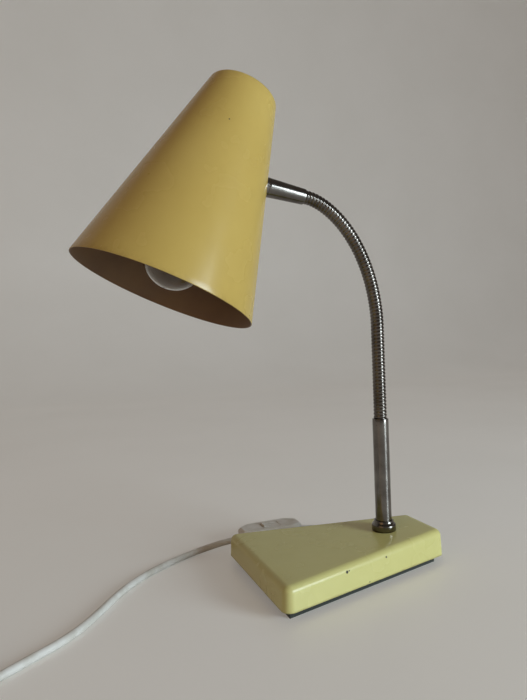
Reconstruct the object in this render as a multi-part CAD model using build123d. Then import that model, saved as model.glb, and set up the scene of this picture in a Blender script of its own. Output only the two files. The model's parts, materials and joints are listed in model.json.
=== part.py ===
"""Gooseneck desk lamp: a conical lacquered shade on a ribbed bending neck over a weighted base.

Millimetres, +Z up. The origin is on the table under the post's axis. +X points to the narrow end
of the base, the shade hangs towards -X, and the base, post, neck and shade share the plane Y = 0.
"""

import os
from math import atan2, ceil, cos, degrees, hypot, pi, radians, sin, tan

from build123d import *

# Fits
fit_gap = 0.1  # radial play of a screwed or pushed-in piece
link_gap = 0.15  # least distance from a neck length's end to the plane of its hinge
lay_gap = 0.1  # height of a lying cord above the table

# Base housing: a trapezoid, wide end under the shade
base_length = 150.5
base_wide = 116.4
base_narrow = 45.7
base_height = 25.0  # at the post's axis
base_fall = 0.026  # slope of the roof, down towards the wide end
base_wall = 1.2
base_draft = 2.5
base_corner_r = 6.2
base_edge_r = 5.0
base_lift = 6.0  # table to the housing's lower edge
post_setback = 39.2  # post axis to the narrow end

# Felt, floor plate and ballast
felt_thickness = 1.5
plate_thickness = 6.0
plate_inset = 6.0
ballast_play = 1.0
ballast_web = 3.0
bay_front = 12.0  # wire bay in the ballast, from the post axis towards each side
bay_left = 34.0
bay_right = 21.0
plate_screw_r = 2.0
plate_screw_head_r = 4.0
plate_screw_head = 2.4
plate_screw_length = 12.0
plate_screw_wide = 17.0  # screws from the wide end
plate_screw_narrow = 10.6  # screw from the narrow end
plate_screw_side = 25.5  # screws from the sides, at the wide end

# Post, its collar and its threaded fixing
post_r = 6.25
post_top = 113.0
tube_bore_r = 5.0
collar_r = 9.3
collar_shoulder_r = 7.6
collar_height = 8.0
collar_ring = 5.6
collar_round = 1.5
nipple_bore_r = 3.5
post_nipple_grip = 14.0
post_nut_af = 16.0
post_nut_height = 4.0
post_washer_r = 9.0
post_washer_height = 1.2
nipple_tail = 0.6  # thread that stands out of a nut

# Neck: a ribbed hose in lengths, straight below and bent above
neck_crest_r = 5.1
neck_root_r = 4.5
neck_bore_r = 3.2
neck_ball_r = 4.3  # ball at the upper end of each length, in a cup of the next
neck_ball_gap = 0.08
rib_pitch = 2.75
rib_groove = 1.1
straight_length = 20.8
straight_count = 4
bent_first = 23.8
bent_less = 2.8
bent_count = 7
neck_stub = 5.2
bend_step = 10.0
link_limit = 15.0
spigot_length = 12.0

# Ferrule and the fixing of the shade
ferrule_length = 29.9
ferrule_neck_r = 5.8
ferrule_shade_r = 7.0
ring_r = 7.1
ring_height = 2.2
head_nipple_grip = 12.0
head_nut_af = 14.0
head_nut_height = 4.0
head_washer_r = 7.5
head_washer_height = 1.0

# Shade
shade_rim_r = 64.3
shade_top_r = 24.8
shade_length = 154.6
shade_wall = 0.8
shade_edge_r = 4.0
entry_height = 100.3  # neck entry above the rim, along the shade's axis

# Lamp bracket
bracket_thickness = 1.5
bracket_width = 14.0
bracket_drop = 13.7  # from the nipple's axis to the foot
bracket_head = 8.0
bracket_overhang = 9.5

# Lamp holder and lamp, along the shade's axis
holder_r = 13.6
holder_skirt_r = 12.4
holder_skirt = 18.0
holder_length = 31.0
holder_floor = 2.0
holder_cavity_r = 8.4
holder_stub_r = 4.9
holder_stub_bore_r = 2.6
holder_nut_af = 14.0
holder_nut_height = 3.0
sleeve_wall = 0.5
sleeve_length = 20.0
contact_height = 2.5
contact_r = 3.6
bulb_r = 22.5
bulb_length = 78.0
bulb_wall = 0.8
bulb_neck_r = 6.3
bulb_shoulder = 50.0  # degrees from the axis where ball turns into neck
bulb_seat = 3.0  # neck held in the cap
cap_r = 6.95
cap_wall = 0.4
cap_length = 21.0
tip_length = 3.0
tip_r = 2.4
wire_r = 0.85
wire_apart = 1.2
wire_out = 8.0  # the wires' way inside the shade: straight out, over an arch and into the holder
wire_arch = 15.0
wire_arch_x = 12.0
wire_in = 3.0
stem_r = 2.2
stem_length = 22.0
filament_r = 0.3
filament_spread = 7.0

# Cord and its pieces
cord_r = 2.5
cord_sides = 8
wire_out_of_sheath = 2.5  # straight wire at the sheath's end
wire_lift = 2.0  # axis of the wires above the floor plate under the post
wire_bend_r = 7.0
wire_turn_low = 40.0  # heights in the post between which the two wires change sides
wire_turn_high = 100.0
cord_gap = 0.25  # play round the cord in relief, clamp and switch
relief_r = 5.6
relief_tip_r = 3.4
relief_length = 17.0
relief_groove_r = 4.4
relief_flange = 2.0
relief_slack = 1.0
relief_z = 13.0
cord_fall = 3.0  # the cord leaves the base sloping down
clamp_width = 6.0
clamp_strip = 1.2
clamp_foot = 8.0
clamp_gap = 2.0  # between clamp and relief, and from the clamp to the sheath's end
clamp_screw_r = 1.3
clamp_screw_head_r = 2.4
clamp_screw_head = 1.4
clamp_screw_length = 6.0

switch_x = -66.0
switch_y = 78.0
switch_length = 56.0
switch_width = 25.0
switch_waist = 36.0  # length of the full width
switch_end_width = 13.0
switch_split = 7.8
switch_height = 16.0
switch_round = 4.0
switch_edge = 2.2
switch_foot = 0.2
switch_wall = 2.0
switch_cavity = 26.0
switch_socket = 7.0
switch_screw_r = 1.4
switch_screw_head_r = 2.6
switch_screw_head = 1.6
switch_screw_x = 20.0
switch_screw_y = 5.6
rocker_length = 15.0
rocker_width = 9.0
rocker_gap = 0.7
rocker_crown = 3.0
rocker_depth = 4.2
rocker_pin_r = 1.5
rocker_pin_length = 2.0
rocker_pin_gap = 0.06
rocker_axis_z = 13.6
rocker_tilt = 7.0

lead_corner = 12.3  # relief's tip to the cord's first bend
coil_outer_r = 39.4
coil_pitch = 5.5
coil_turns = 3.25  # in each of two layers
coil_x = -331.5
coil_y = -38.5
coil_start = -52.0
coil_lead_in = 18.0  # straight cord before the first turn and after the last
coil_tail = 18.0
tie_thickness = 0.6
tie_width = 5.0
tie_gap = 0.3
tie_angle = 60.0

plug_relief_length = 22.0
plug_relief_r = 4.6
plug_relief_tip_r = 3.3
plug_length = 36.0
plug_width = 35.3
plug_neck_width = 12.0
plug_height = 13.7
plug_edge = 2.4
plug_corner = 5.0
pin_r = 2.0
pin_length = 19.0
pin_spacing = 18.6
pin_seat = 6.0

# Places that follow from the sizes
plate_top = felt_thickness + plate_thickness
housing_top = base_height - base_wall
wide_x = post_setback - base_length
side_slope = (base_wide - base_narrow) / 2 / base_length
shade_lean = degrees(atan2(shade_rim_r - shade_top_r, shade_length))


def ring(outer, inner, height):
    """A washer standing on Z = 0."""
    return extrude(Circle(outer) - Circle(inner), height)


def hex_nut(across_flats, inner, height):
    """A hexagon nut standing on Z = 0."""
    return extrude(RegularPolygon(across_flats / 2, 6, major_radius=False) - Circle(inner), height)


def turned(*outline):
    """A solid turned about Z from a closed outline of radius and height."""
    profile = make_face(Polyline(*[(r, 0, z) for r, z in outline], close=True))
    return revolve(profile, Axis.Z)


def cord_section(path, radius):
    """A cord's outline square to its path: as many sides as keep its area that of the circle."""
    turn = 2 * pi / cord_sides
    corner_r = radius * (turn / sin(turn)) ** 0.5
    return Plane(origin=path @ 0, z_dir=path % 0) * RegularPolygon(corner_r, cord_sides)


def tube(points, radii, radius):
    """A cord along straight runs that are joined by tangent arcs."""
    path = FilletPolyline(*points, radius=radii)
    return sweep(cord_section(path, radius), path=path), path.length


def bend_radii(points):
    """The largest arc that the two runs beside each inner point leave room for."""
    radii = []
    for before, here, after in zip(points, points[1:], points[2:]):
        run_in = Vector(*here) - Vector(*before)
        run_out = Vector(*after) - Vector(*here)
        half_turn = radians(run_in.get_angle(run_out)) / 2
        radii.append(0.45 * min(run_in.length, run_out.length) / tan(half_turn))
    return radii


# Base

def housing_outline(height, inset):
    """The housing's plan at a height, drawn in by its draft and by an inset."""
    corners = [
        (wide_x, -base_wide / 2),
        (post_setback, -base_narrow / 2),
        (post_setback, base_narrow / 2),
        (wide_x, base_wide / 2),
    ]
    plan = make_face(Polyline(*corners, close=True))
    plan = fillet(plan.vertices(), base_corner_r)
    shrink = inset + (height - base_lift) * tan(radians(base_draft))
    return offset(plan, amount=-shrink) if shrink else plan


def housing_block(bottom, top, inset, edge):
    """A drafted block of that plan under the falling roof, with rounded upper edges."""
    plan = Pos(0, 0, bottom) * housing_outline(bottom, inset)
    block = extrude(plan, top + base_fall * base_length - bottom, taper=base_draft)
    roof = Plane(origin=(0, 0, top), z_dir=(-base_fall, 0, 1))
    block = split(block, bisect_by=roof, keep=Keep.BOTTOM)
    return fillet(block.faces().sort_by(Axis.Z)[-1].edges(), edge)


def side_y(x, height):
    """The rear wall's outer Y at a place along the base and a height."""
    plan_y = base_narrow / 2 + side_slope * (post_setback - x)
    return plan_y - (height - base_lift) * tan(radians(base_draft)) * hypot(1, side_slope)


rear_normal = Vector(side_slope, 1, 0).normalized()
relief_reach = side_y(0, relief_z) / (hypot(1, side_slope))  # post axis to rear wall, square to it
relief_inner = relief_reach - base_wall - relief_slack - relief_flange
clamp_distance = relief_inner - clamp_gap - clamp_width / 2
sheath_end = clamp_distance - clamp_width / 2 - clamp_gap
relief_way = rear_normal * cos(radians(cord_fall)) - Vector(0, 0, sin(radians(cord_fall)))
relief_frame = Plane(
    origin=rear_normal * relief_reach + Vector(0, 0, relief_z),
    x_dir=(rear_normal.Y, -rear_normal.X, 0),
    z_dir=relief_way,
)


def entry_place(distance):
    """A place on the cord's straight way into the base, at a distance from the post's axis."""
    rise = (relief_reach - distance) * tan(radians(cord_fall))
    return rear_normal * distance + Vector(0, 0, relief_z + rise)


plate_screw_places = [
    (post_setback - plate_screw_narrow, 0),
    (wide_x + plate_screw_wide, base_wide / 2 - plate_screw_side),
    (wide_x + plate_screw_wide, plate_screw_side - base_wide / 2),
]


def at_plate_screws(shape, height):
    """Copies of a shape at the floor plate's screws."""
    return [Pos(x, y, height) * shape for x, y in plate_screw_places]


def base_shell():
    shell = housing_block(base_lift, base_height, 0, base_edge_r)
    shell -= housing_block(base_lift, housing_top, base_wall, base_edge_r - base_wall)
    shell -= Cylinder(post_nipple_r + fit_gap, 4 * base_height)
    hole = Cylinder(relief_groove_r + fit_gap, 8 * base_wall)
    return shell - relief_frame.location * hole


def base_ballast():
    inset = base_wall + ballast_play
    block = housing_block(plate_top, housing_top, inset, base_edge_r - inset)
    bay_length = bay_left + bay_right
    bay_depth = bay_front + base_wide
    bay_height = housing_top - ballast_web - plate_top
    bay = Box(bay_length, bay_depth, bay_height, align=(Align.MIN, Align.MIN, Align.MIN))
    block -= Pos(-bay_left, -bay_front, plate_top) * bay
    block -= Cylinder(post_nipple_r + fit_gap, 4 * base_height)
    thread = Cylinder(plate_screw_r + fit_gap, 2 * plate_screw_length)
    return block - at_plate_screws(thread, plate_top)


def floor_sheet(bottom, thickness, hole_r):
    """A flat sheet with the plinth's plan and the plate's screw holes."""
    plan = offset(housing_outline(base_lift, 0), amount=-plate_inset)
    sheet = extrude(Pos(0, 0, bottom) * plan, thickness)
    return sheet - at_plate_screws(Cylinder(hole_r, 4 * thickness), bottom)


def base_plate():
    plate = floor_sheet(felt_thickness, plate_thickness, plate_screw_r + fit_gap)
    sunk = Cylinder(plate_screw_head_r + fit_gap, 2 * plate_screw_head)
    plate -= at_plate_screws(sunk, felt_thickness)
    saddle_height = clamp_cord_z - plate_top - cord_r - cord_gap
    saddle = Box(2 * cord_r, clamp_width, saddle_height, align=(Align.CENTER, Align.CENTER, Align.MIN))
    plate += clamp_frame.location * saddle
    thread = Cylinder(clamp_screw_r + fit_gap, 2 * clamp_screw_length)
    return plate - clamp_frame.location * at_clamp_screws(thread)


def base_felt():
    return floor_sheet(0, felt_thickness, plate_screw_head_r + fit_gap)


def plate_screws():
    head = Cylinder(plate_screw_head_r, plate_screw_head, align=(Align.CENTER, Align.CENTER, Align.MIN))
    length = plate_screw_head + plate_screw_length
    shank = Cylinder(plate_screw_r, length, align=(Align.CENTER, Align.CENTER, Align.MIN))
    slot = Box(2 * plate_screw_head_r, plate_screw_head / 3, plate_screw_head / 1.5)
    return Compound(at_plate_screws(head + shank - slot, felt_thickness))


# Cord entry and clamp

clamp_cord_z = entry_place(clamp_distance).Z
clamp_frame = Plane(
    origin=rear_normal * clamp_distance + Vector(0, 0, plate_top),
    x_dir=(rear_normal.Y, -rear_normal.X, 0),
    z_dir=(0, 0, 1),
)
clamp_inner_r = cord_r + cord_gap
clamp_screw_y = clamp_inner_r + clamp_strip + clamp_foot / 2


def at_clamp_screws(shape):
    return Compound([Pos(side * clamp_screw_y, 0, 0) * shape for side in (-1, 1)])


def cord_relief():
    """A rubber sleeve with a groove for the housing's wall and a tapered tail."""
    bore = cord_r + cord_gap
    groove = base_wall + 2 * relief_slack
    inner = -base_wall - relief_slack
    sleeve = turned(
        (bore, inner - relief_flange),
        (relief_r, inner - relief_flange),
        (relief_r, inner),
        (relief_groove_r, inner),
        (relief_groove_r, inner + groove),
        (relief_r, inner + groove),
        (relief_r, inner + groove + relief_flange),
        (relief_tip_r, relief_length),
        (bore, relief_length),
    )
    return relief_frame.location * sleeve


def cord_clamp():
    """A strip bent over the lead, with a screwed foot on each side."""
    outer_r = clamp_inner_r + clamp_strip
    span = 2 * (outer_r + clamp_foot)
    height = clamp_cord_z - plate_top
    arch = Pos(0, height) * Circle(outer_r)
    arch += Pos(0, height / 2) * Rectangle(2 * outer_r, height)
    arch += Pos(0, clamp_strip / 2) * Rectangle(span, clamp_strip)
    arch -= Pos(0, height) * Circle(clamp_inner_r)
    arch -= Pos(0, height / 2) * Rectangle(2 * clamp_inner_r, height)
    arch -= Pos(0, -outer_r) * Rectangle(2 * span, 2 * outer_r)
    strip = extrude(Plane.XZ * arch, clamp_width / 2, both=True)
    strip -= at_clamp_screws(Cylinder(clamp_screw_r + fit_gap, 4 * clamp_strip))
    return clamp_frame.location * strip


def clamp_screws():
    head = Cylinder(clamp_screw_head_r, clamp_screw_head, align=(Align.CENTER, Align.CENTER, Align.MIN))
    shank = Cylinder(clamp_screw_r, clamp_screw_length, align=(Align.CENTER, Align.CENTER, Align.MAX))
    screw = Pos(0, 0, clamp_strip) * (head + shank)
    return clamp_frame.location * at_clamp_screws(screw)


# Post

post_nipple_r = tube_bore_r - fit_gap
web_under = housing_top - ballast_web
nut_top = web_under - post_washer_height
post_nipple_low = nut_top - post_nut_height - nipple_tail


def post_tube():
    foot = base_height + base_fall * post_r
    return Pos(0, 0, foot) * ring(post_r, tube_bore_r, post_top - foot)


def post_collar():
    """The collar's underside is cut to the falling roof."""
    bore = post_r + fit_gap
    seat = -base_fall * collar_r
    collar = turned(
        (bore, seat),
        (collar_r, seat),
        (collar_r, collar_ring),
        (collar_shoulder_r, collar_ring),
        (collar_shoulder_r, collar_height),
        (bore, collar_height),
    )
    circles = collar.edges().filter_by(GeomType.CIRCLE)
    widest = circles.filter_by(lambda edge: edge.radius > collar_shoulder_r + fit_gap)
    collar = fillet(widest.sort_by(Axis.Z)[-1], collar_round)
    return Pos(0, 0, base_height) * collar - housing_block(base_lift, base_height, 0, base_edge_r)


def post_nipple():
    length = base_height + post_nipple_grip - post_nipple_low
    return Pos(0, 0, post_nipple_low) * ring(post_nipple_r, nipple_bore_r, length)


def post_washer():
    return Pos(0, 0, nut_top) * ring(post_washer_r, post_nipple_r + fit_gap, post_washer_height)


def post_nut():
    nut = hex_nut(post_nut_af, post_nipple_r + fit_gap, post_nut_height)
    return Pos(0, 0, nut_top - post_nut_height) * nut


# Neck

def neck_chain():
    """Hinge places, from the post's top to the ferrule, and the lean of each length from +Z."""
    lengths = [straight_length] * straight_count
    lengths += [bent_first - bent_less * k for k in range(bent_count)] + [neck_stub]
    leans = [0.0] * straight_count + [bend_step * (k + 1) for k in range(bent_count + 1)]
    places = [Vector(0, 0, post_top)]
    for length, lean in zip(lengths, leans):
        step = Vector(-sin(radians(lean)), 0, cos(radians(lean))) * length
        places.append(places[-1] + step)
    return places, lengths, leans


neck_places, neck_lengths, neck_leans = neck_chain()
neck_lean = neck_leans[-1]
spigot_r = tube_bore_r - fit_gap


def end_setback(radius):
    """How far a neck length stands back from its hinge plane at a radius, to turn freely."""
    return link_gap + radius * tan(radians(link_limit / 2))


def ribbed_length(length, low_spigot, high_spigot):
    """One length of the ribbed hose on Z: a ruled loft through the ribs' circles, then its ends and bore."""
    low = 0 if low_spigot else end_setback(neck_crest_r)
    high = length if high_spigot else length - end_setback(neck_crest_r)
    count = max(1, round((high - low + rib_groove) / rib_pitch))
    pitch = (high - low + rib_groove) / count
    circles = []
    for k in range(count):
        foot = low + k * pitch
        circles.append((neck_crest_r, foot))
        circles.append((neck_crest_r, foot + pitch - rib_groove))
        circles.append((neck_root_r, foot + pitch - rib_groove / 2))
    hose = loft([Pos(0, 0, z) * Circle(r) for r, z in circles[:-1]], ruled=True)
    if low_spigot:
        hose += Pos(0, 0, -spigot_length / 2) * Cylinder(spigot_r, spigot_length)
    else:
        hose -= Sphere(neck_ball_r + neck_ball_gap)
    if high_spigot:
        hose += Pos(0, 0, length + spigot_length / 2) * Cylinder(spigot_r, spigot_length)
    else:
        hose += Pos(0, 0, length) * Sphere(neck_ball_r)
    return hose - Cylinder(neck_bore_r, 4 * (length + spigot_length))


def neck_lengths_of_hose():
    """All the neck's lengths by name, from the post to the ferrule."""
    hoses = {}
    last = len(neck_lengths) - 1
    for k, (place, length, lean) in enumerate(zip(neck_places, neck_lengths, neck_leans)):
        hose = ribbed_length(length, k == 0, k == last)
        hoses[f"neck_{k + 1:02d}"] = Pos(*place) * Rot(0, -lean, 0) * hose
    return hoses


# Head: frames of the ferrule's axis and of the shade

inward = Vector(-sin(radians(neck_lean)), 0, cos(radians(neck_lean)))
upward = Vector(cos(radians(neck_lean)), 0, sin(radians(neck_lean)))
entry = neck_places[-1] + inward * (ferrule_length + ring_height)
head_frame = Plane(origin=entry, x_dir=upward, z_dir=inward)
shade_axis = upward * cos(radians(shade_lean)) - inward * sin(radians(shade_lean))
shade_side = inward * -cos(radians(shade_lean)) - upward * sin(radians(shade_lean))
entry_r = shade_rim_r - (shade_rim_r - shade_top_r) * entry_height / shade_length
rim_centre = entry - shade_side * entry_r - shade_axis * entry_height
shade_frame = Plane(origin=rim_centre, x_dir=shade_side, z_dir=shade_axis)
head_nipple_r = tube_bore_r - fit_gap


def shade_cone(inset):
    """The shade's body, or its hollow at a wall's depth, standing on its rim."""
    slant = inset / cos(radians(shade_lean))
    rise = shade_length - inset
    top = shade_top_r + inset * tan(radians(shade_lean)) - slant
    cone = Solid.make_cone(shade_rim_r - slant, top, rise)
    return fillet(cone.faces().sort_by(Axis.Z)[-1].edges(), shade_edge_r - inset)


def shade():
    hole = head_frame.location * Cylinder(head_nipple_r + fit_gap, 8 * shade_wall)
    return shade_frame.location * (shade_cone(0) - shade_cone(shade_wall)) - hole


def head_ferrule():
    """A tapered sleeve over the neck's end, threaded for the shade's nipple."""
    low = -ring_height - ferrule_length
    high = -ring_height
    sleeve = turned(
        (nipple_bore_r, low + spigot_length),
        (tube_bore_r, low + spigot_length),
        (tube_bore_r, low),
        (ferrule_neck_r, low),
        (ferrule_shade_r, high),
        (tube_bore_r, high),
        (tube_bore_r, high - head_nipple_grip),
        (nipple_bore_r, high - head_nipple_grip),
    )
    return head_frame.location * sleeve


def head_ring():
    """A seat between ferrule and shade, hollowed to the shade's round side."""
    blank = Pos(0, 0, -ring_height) * ring(ring_r, head_nipple_r + fit_gap, 2 * ring_height)
    return head_frame.location * blank - shade_frame.location * shade_cone(0)


seat_sag = bracket_width ** 2 / 8 / (entry_r - 2 * shade_wall)
bracket_low = shade_wall + seat_sag + fit_gap
bracket_high = bracket_low + bracket_thickness
head_nut_low = bracket_high + head_washer_height
head_nipple_high = head_nut_low + head_nut_height + nipple_tail


def head_nipple():
    low = -ring_height - head_nipple_grip
    pipe = ring(head_nipple_r, nipple_bore_r, head_nipple_high - low)
    return head_frame.location * Pos(0, 0, low) * pipe


def head_washer():
    washer = ring(head_washer_r, head_nipple_r + fit_gap, head_washer_height)
    return head_frame.location * Pos(0, 0, bracket_high) * washer


def head_nut():
    nut = hex_nut(head_nut_af, head_nipple_r + fit_gap, head_nut_height)
    return head_frame.location * Pos(0, 0, head_nut_low) * nut


# Lamp bracket, holder and lamp

foot_top = entry_height - bracket_drop
holder_top = foot_top - bracket_thickness
stub_top = foot_top + holder_nut_height + nipple_tail
cavity_top = holder_top - holder_floor
bulb_tip_z = cavity_top - contact_height
cap_top = bulb_tip_z - tip_length
cap_low = cap_top - cap_length
bulb_centre = bulb_tip_z - bulb_length + bulb_r


def socket_bracket():
    """An angle of sheet: one leg against the shade's side, its foot across the shade's axis."""
    leg_plan = Rectangle(bracket_drop + bracket_head, bracket_width, align=(Align.MAX, Align.CENTER))
    leg = extrude(Pos(bracket_head, 0, bracket_low) * leg_plan, bracket_thickness)
    leg -= Cylinder(head_nipple_r + fit_gap, 8 * bracket_high)
    leg = shade_frame.location.inverse() * head_frame.location * leg
    reach = leg.bounding_box()
    foot_end = reach.max.X - (bracket_high - bracket_low) * sin(radians(shade_lean))
    foot_plan = Rectangle(foot_end + bracket_overhang, bracket_width, align=(Align.MIN, Align.CENTER))
    foot = Pos(-bracket_overhang, 0, holder_top) * extrude(foot_plan, bracket_thickness)
    foot -= Pos(0, 0, foot_top) * Cylinder(holder_stub_r + fit_gap, 8 * bracket_thickness)
    inside = shade_cone(shade_wall + fit_gap)
    return shade_frame.location * ((leg + foot) & inside)


def socket_body():
    """The moulded holder: a stepped cup with a threaded stub for the bracket."""
    low = holder_top - holder_length
    cup = turned(
        (holder_stub_bore_r, cavity_top),
        (holder_cavity_r, cavity_top),
        (holder_cavity_r, low),
        (holder_skirt_r, low),
        (holder_skirt_r, low + holder_skirt),
        (holder_r, low + holder_skirt + holder_r - holder_skirt_r),
        (holder_r, holder_top),
        (holder_stub_r, holder_top),
        (holder_stub_r, stub_top),
        (holder_stub_bore_r, stub_top),
    )
    return shade_frame.location * cup


def socket_nut():
    nut = hex_nut(holder_nut_af, holder_stub_r + fit_gap, holder_nut_height)
    return shade_frame.location * Pos(0, 0, foot_top) * nut


def socket_sleeve():
    sleeve = ring(holder_cavity_r - fit_gap, holder_cavity_r - fit_gap - sleeve_wall, sleeve_length)
    return shade_frame.location * Pos(0, 0, cap_top - sleeve_length) * sleeve


def socket_contact():
    """A sprung centre contact between the holder's floor and the lamp's tip."""
    pad = Cylinder(tip_r, contact_height / 2, align=(Align.CENTER, Align.CENTER, Align.MIN))
    root = Cylinder(contact_r, contact_height / 2, align=(Align.CENTER, Align.CENTER, Align.MAX))
    return shade_frame.location * Pos(0, 0, bulb_tip_z) * (pad + Pos(0, 0, contact_height) * root)


def bulb_form(inset):
    """The ball and neck of the lamp's glass, drawn in by an inset."""
    ball = bulb_r - inset
    neck = bulb_neck_r - inset
    slope = radians(bulb_shoulder)
    shoulder = (ball * sin(slope), 0, bulb_centre + ball * cos(slope))
    low = (0, 0, bulb_centre - ball)
    side = (ball, 0, bulb_centre)
    neck_low = (neck, 0, cap_low)
    neck_high = (neck, 0, cap_low + bulb_seat)
    outline = [
        ThreePointArc(low, side, shoulder),
        TangentArc(shoulder, neck_low, tangent=(-cos(slope), 0, sin(slope))),
        Polyline(neck_low, neck_high, (0, 0, cap_low + bulb_seat), low),
    ]
    return revolve(make_face(outline), Axis.Z)


def bulb_glass():
    return shade_frame.location * (bulb_form(0) - bulb_form(bulb_wall))


def bulb_cap():
    cap = ring(cap_r, cap_r - cap_wall, cap_length)
    return shade_frame.location * Pos(0, 0, cap_low) * cap


def bulb_tip():
    tip = turned((0, 0), (cap_r, 0), (cap_r, tip_length / 3), (tip_r, tip_length), (0, tip_length))
    return shade_frame.location * Pos(0, 0, cap_top) * tip


def bulb_filament():
    """A glass stem with two wires and the filament across their ends."""
    top = cap_low + bulb_seat
    low = top - stem_length
    stem = Pos(0, 0, top - stem_length / 2) * Cylinder(stem_r, stem_length)
    arms = []
    for side in (-1, 1):
        ends = [(side * stem_r / 2, 0, low + stem_r), (side * filament_spread, 0, bulb_centre)]
        arm = Polyline(*ends)
        arms.append(sweep(Plane(origin=arm @ 0, z_dir=arm % 0) * Circle(filament_r), path=arm))
    bar = Pos(0, 0, bulb_centre) * Rot(0, 90, 0) * Cylinder(filament_r, 2 * filament_spread)
    wires = bar + arms
    plug_low = cap_top
    core = Pos(0, 0, (top + plug_low) / 2) * Cylinder(stem_r, plug_low - top)
    return shade_frame.location * (stem + core + wires)


def socket_leads():
    """The two wires from the neck's end over an arch into the holder's stub."""
    way_x = -cos(radians(shade_lean))
    way_z = -sin(radians(shade_lean))
    bend_at = head_nipple_high + wire_out
    leads = []
    for side in (-1, 1):
        y = side * wire_apart
        route = [
            (entry_r + way_x * head_nipple_high, y, entry_height + way_z * head_nipple_high),
            (entry_r + way_x * bend_at, y, entry_height + way_z * bend_at),
            (wire_arch_x, y, stub_top + wire_arch - wire_r),
            (0, y, stub_top + wire_arch),
            (0, y, stub_top - wire_in),
        ]
        lead, _ = tube(route, bend_radii(route), wire_r)
        leads.append(shade_frame.location * lead)
    return Compound(leads)


def neck_leads():
    """The cord's two wires, from the sheath's end through base, post and neck to the shade."""
    sheath = entry_place(sheath_end)
    straight = entry_place(sheath_end - wire_out_of_sheath)
    foot = Vector(0, 0, plate_top + wire_lift)
    across = Vector(rear_normal.Y, -rear_normal.X, 0) * wire_apart
    beside = Vector(0, -wire_apart, 0)
    bends = neck_places[straight_count:-1]
    leads = []
    for side in (-1, 1):
        points = [
            sheath + across * side,
            straight + across * side,
            foot + across * side,
            across * side + Vector(0, 0, wire_turn_low),
            beside * side + Vector(0, 0, wire_turn_high),
        ]
        points += [place + beside * side for place in bends]
        points.append(entry + inward * head_nipple_high + beside * side)
        points = [tuple(p) for p in points]
        radii = bend_radii(points)
        radii[1] = wire_bend_r
        lead, length = tube(points, radii, wire_r)
        leads.append(lead)
    share = lead.volume / (pi * wire_r ** 2 * length)
    print("wire in the lamp", round(length, 1), "volume share", round(share, 4))
    return Compound(leads)


# Cord on the table, chosen points from the relief to the switch and from the switch to the coil

cord_z = cord_r + lay_gap
switch_cord_z = switch_split + switch_foot
switch_right = switch_x + switch_length / 2 - switch_socket
switch_left = switch_x - switch_length / 2 + switch_socket

lead_route = [
    tuple(entry_place(sheath_end)),
    tuple(entry_place(relief_reach + relief_length + lead_corner)),
    (-4.0, switch_y, 2.2),
    (-31.0, switch_y, switch_cord_z),
    (switch_right, switch_y, switch_cord_z),
]
run_route = [
    (switch_left, switch_y, switch_cord_z),
    (-104.0, switch_y, switch_cord_z),
    (-121.0, 80.5, 4.6),
    (-138.0, 78.0, cord_z),
    (-156.0, 68.5, cord_z),
    (-174.0, 57.0, cord_z),
    (-190.0, 43.0, cord_z),
    (-203.5, 27.0, cord_z),
    (-215.0, 10.0, cord_z),
    (-227.5, -7.5, cord_z),
    (-241.5, -21.5, cord_z),
    (-257.0, -32.0, cord_z),
    (-273.0, -43.5, cord_z),
]


def cord_tube(name, route):
    """A stretch of cord along its chosen points, with its bends and volume printed."""
    radii = bend_radii(route)
    cord, length = tube(route, radii, cord_r)
    share = cord.volume / (pi * cord_r ** 2 * length)
    print(name, "length", round(length, 1), "volume share", round(share, 4))
    print(name, "radii", [round(r, 1) for r in radii])
    return cord, length


# Coil of the length that is put away

coil_total = 2 * coil_turns + 0.5
coil_inner_r = coil_outer_r - coil_pitch * coil_total / 2
coil_low = cord_r + cord_gap + tie_thickness + lay_gap
layer_height = coil_pitch


def coil_point(turn):
    """A place on the coil after so many turns: inwards, up over half a turn, outwards above."""
    rising = min(max((turn - coil_turns) / 0.5, 0.0), 1.0)
    radius = coil_outer_r - coil_pitch * (coil_total / 2 - abs(turn - coil_total / 2))
    height = coil_low + layer_height * (1 - cos(pi * rising)) / 2
    angle = radians(coil_start - 360 * turn)
    return Vector(coil_x + radius * cos(angle), coil_y + radius * sin(angle), height)


def biarc(start, start_way, end, end_way):
    """Two tangent arcs from one place and direction to another."""
    gap = end - start
    ways = start_way + end_way
    spread = 2 * (1 - start_way.dot(end_way))
    along = gap.dot(ways)
    reach = (hypot(along, (spread * gap.dot(gap)) ** 0.5) - along) / spread
    middle = (start + end + (start_way - end_way) * reach) / 2
    first = TangentArc(start, middle, tangent=start_way)
    return [first, TangentArc(middle, end, tangent=first % 1)]


def coil_way(turn):
    """The coil's direction after so many turns."""
    little = 0.01
    return (coil_point(turn + little) - coil_point(turn - little)).normalized()


def cord_coil():
    quarters = [k / 4 for k in range(round(4 * coil_total) + 1)]
    start = coil_point(0)
    end = coil_point(coil_total)
    first_way = coil_way(0)
    last_way = coil_way(coil_total)
    edges = [Line(start - first_way * 2 * cord_r, start)]
    for a, b in zip(quarters, quarters[1:]):
        edges += biarc(coil_point(a), coil_way(a), coil_point(b), coil_way(b))
    edges.append(Line(end, end + last_way * coil_tail))
    path = Wire(edges)
    coil = sweep(cord_section(path, cord_r), path=path)
    print("coil length", round(path.length, 1), "least gap to itself", round(coil_gap(), 2))
    return coil, path.length


def coil_gap():
    """The least distance between turns that aren't neighbours along the cord, less its diameter."""
    step = 1 / 48
    places = [coil_point(k * step) for k in range(round(coil_total / step) + 1)]
    least = 1e9
    for i, place in enumerate(places):
        for other in places[i + 24:]:
            least = min(least, (other - place).length)
    return least - 2 * cord_r


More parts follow.
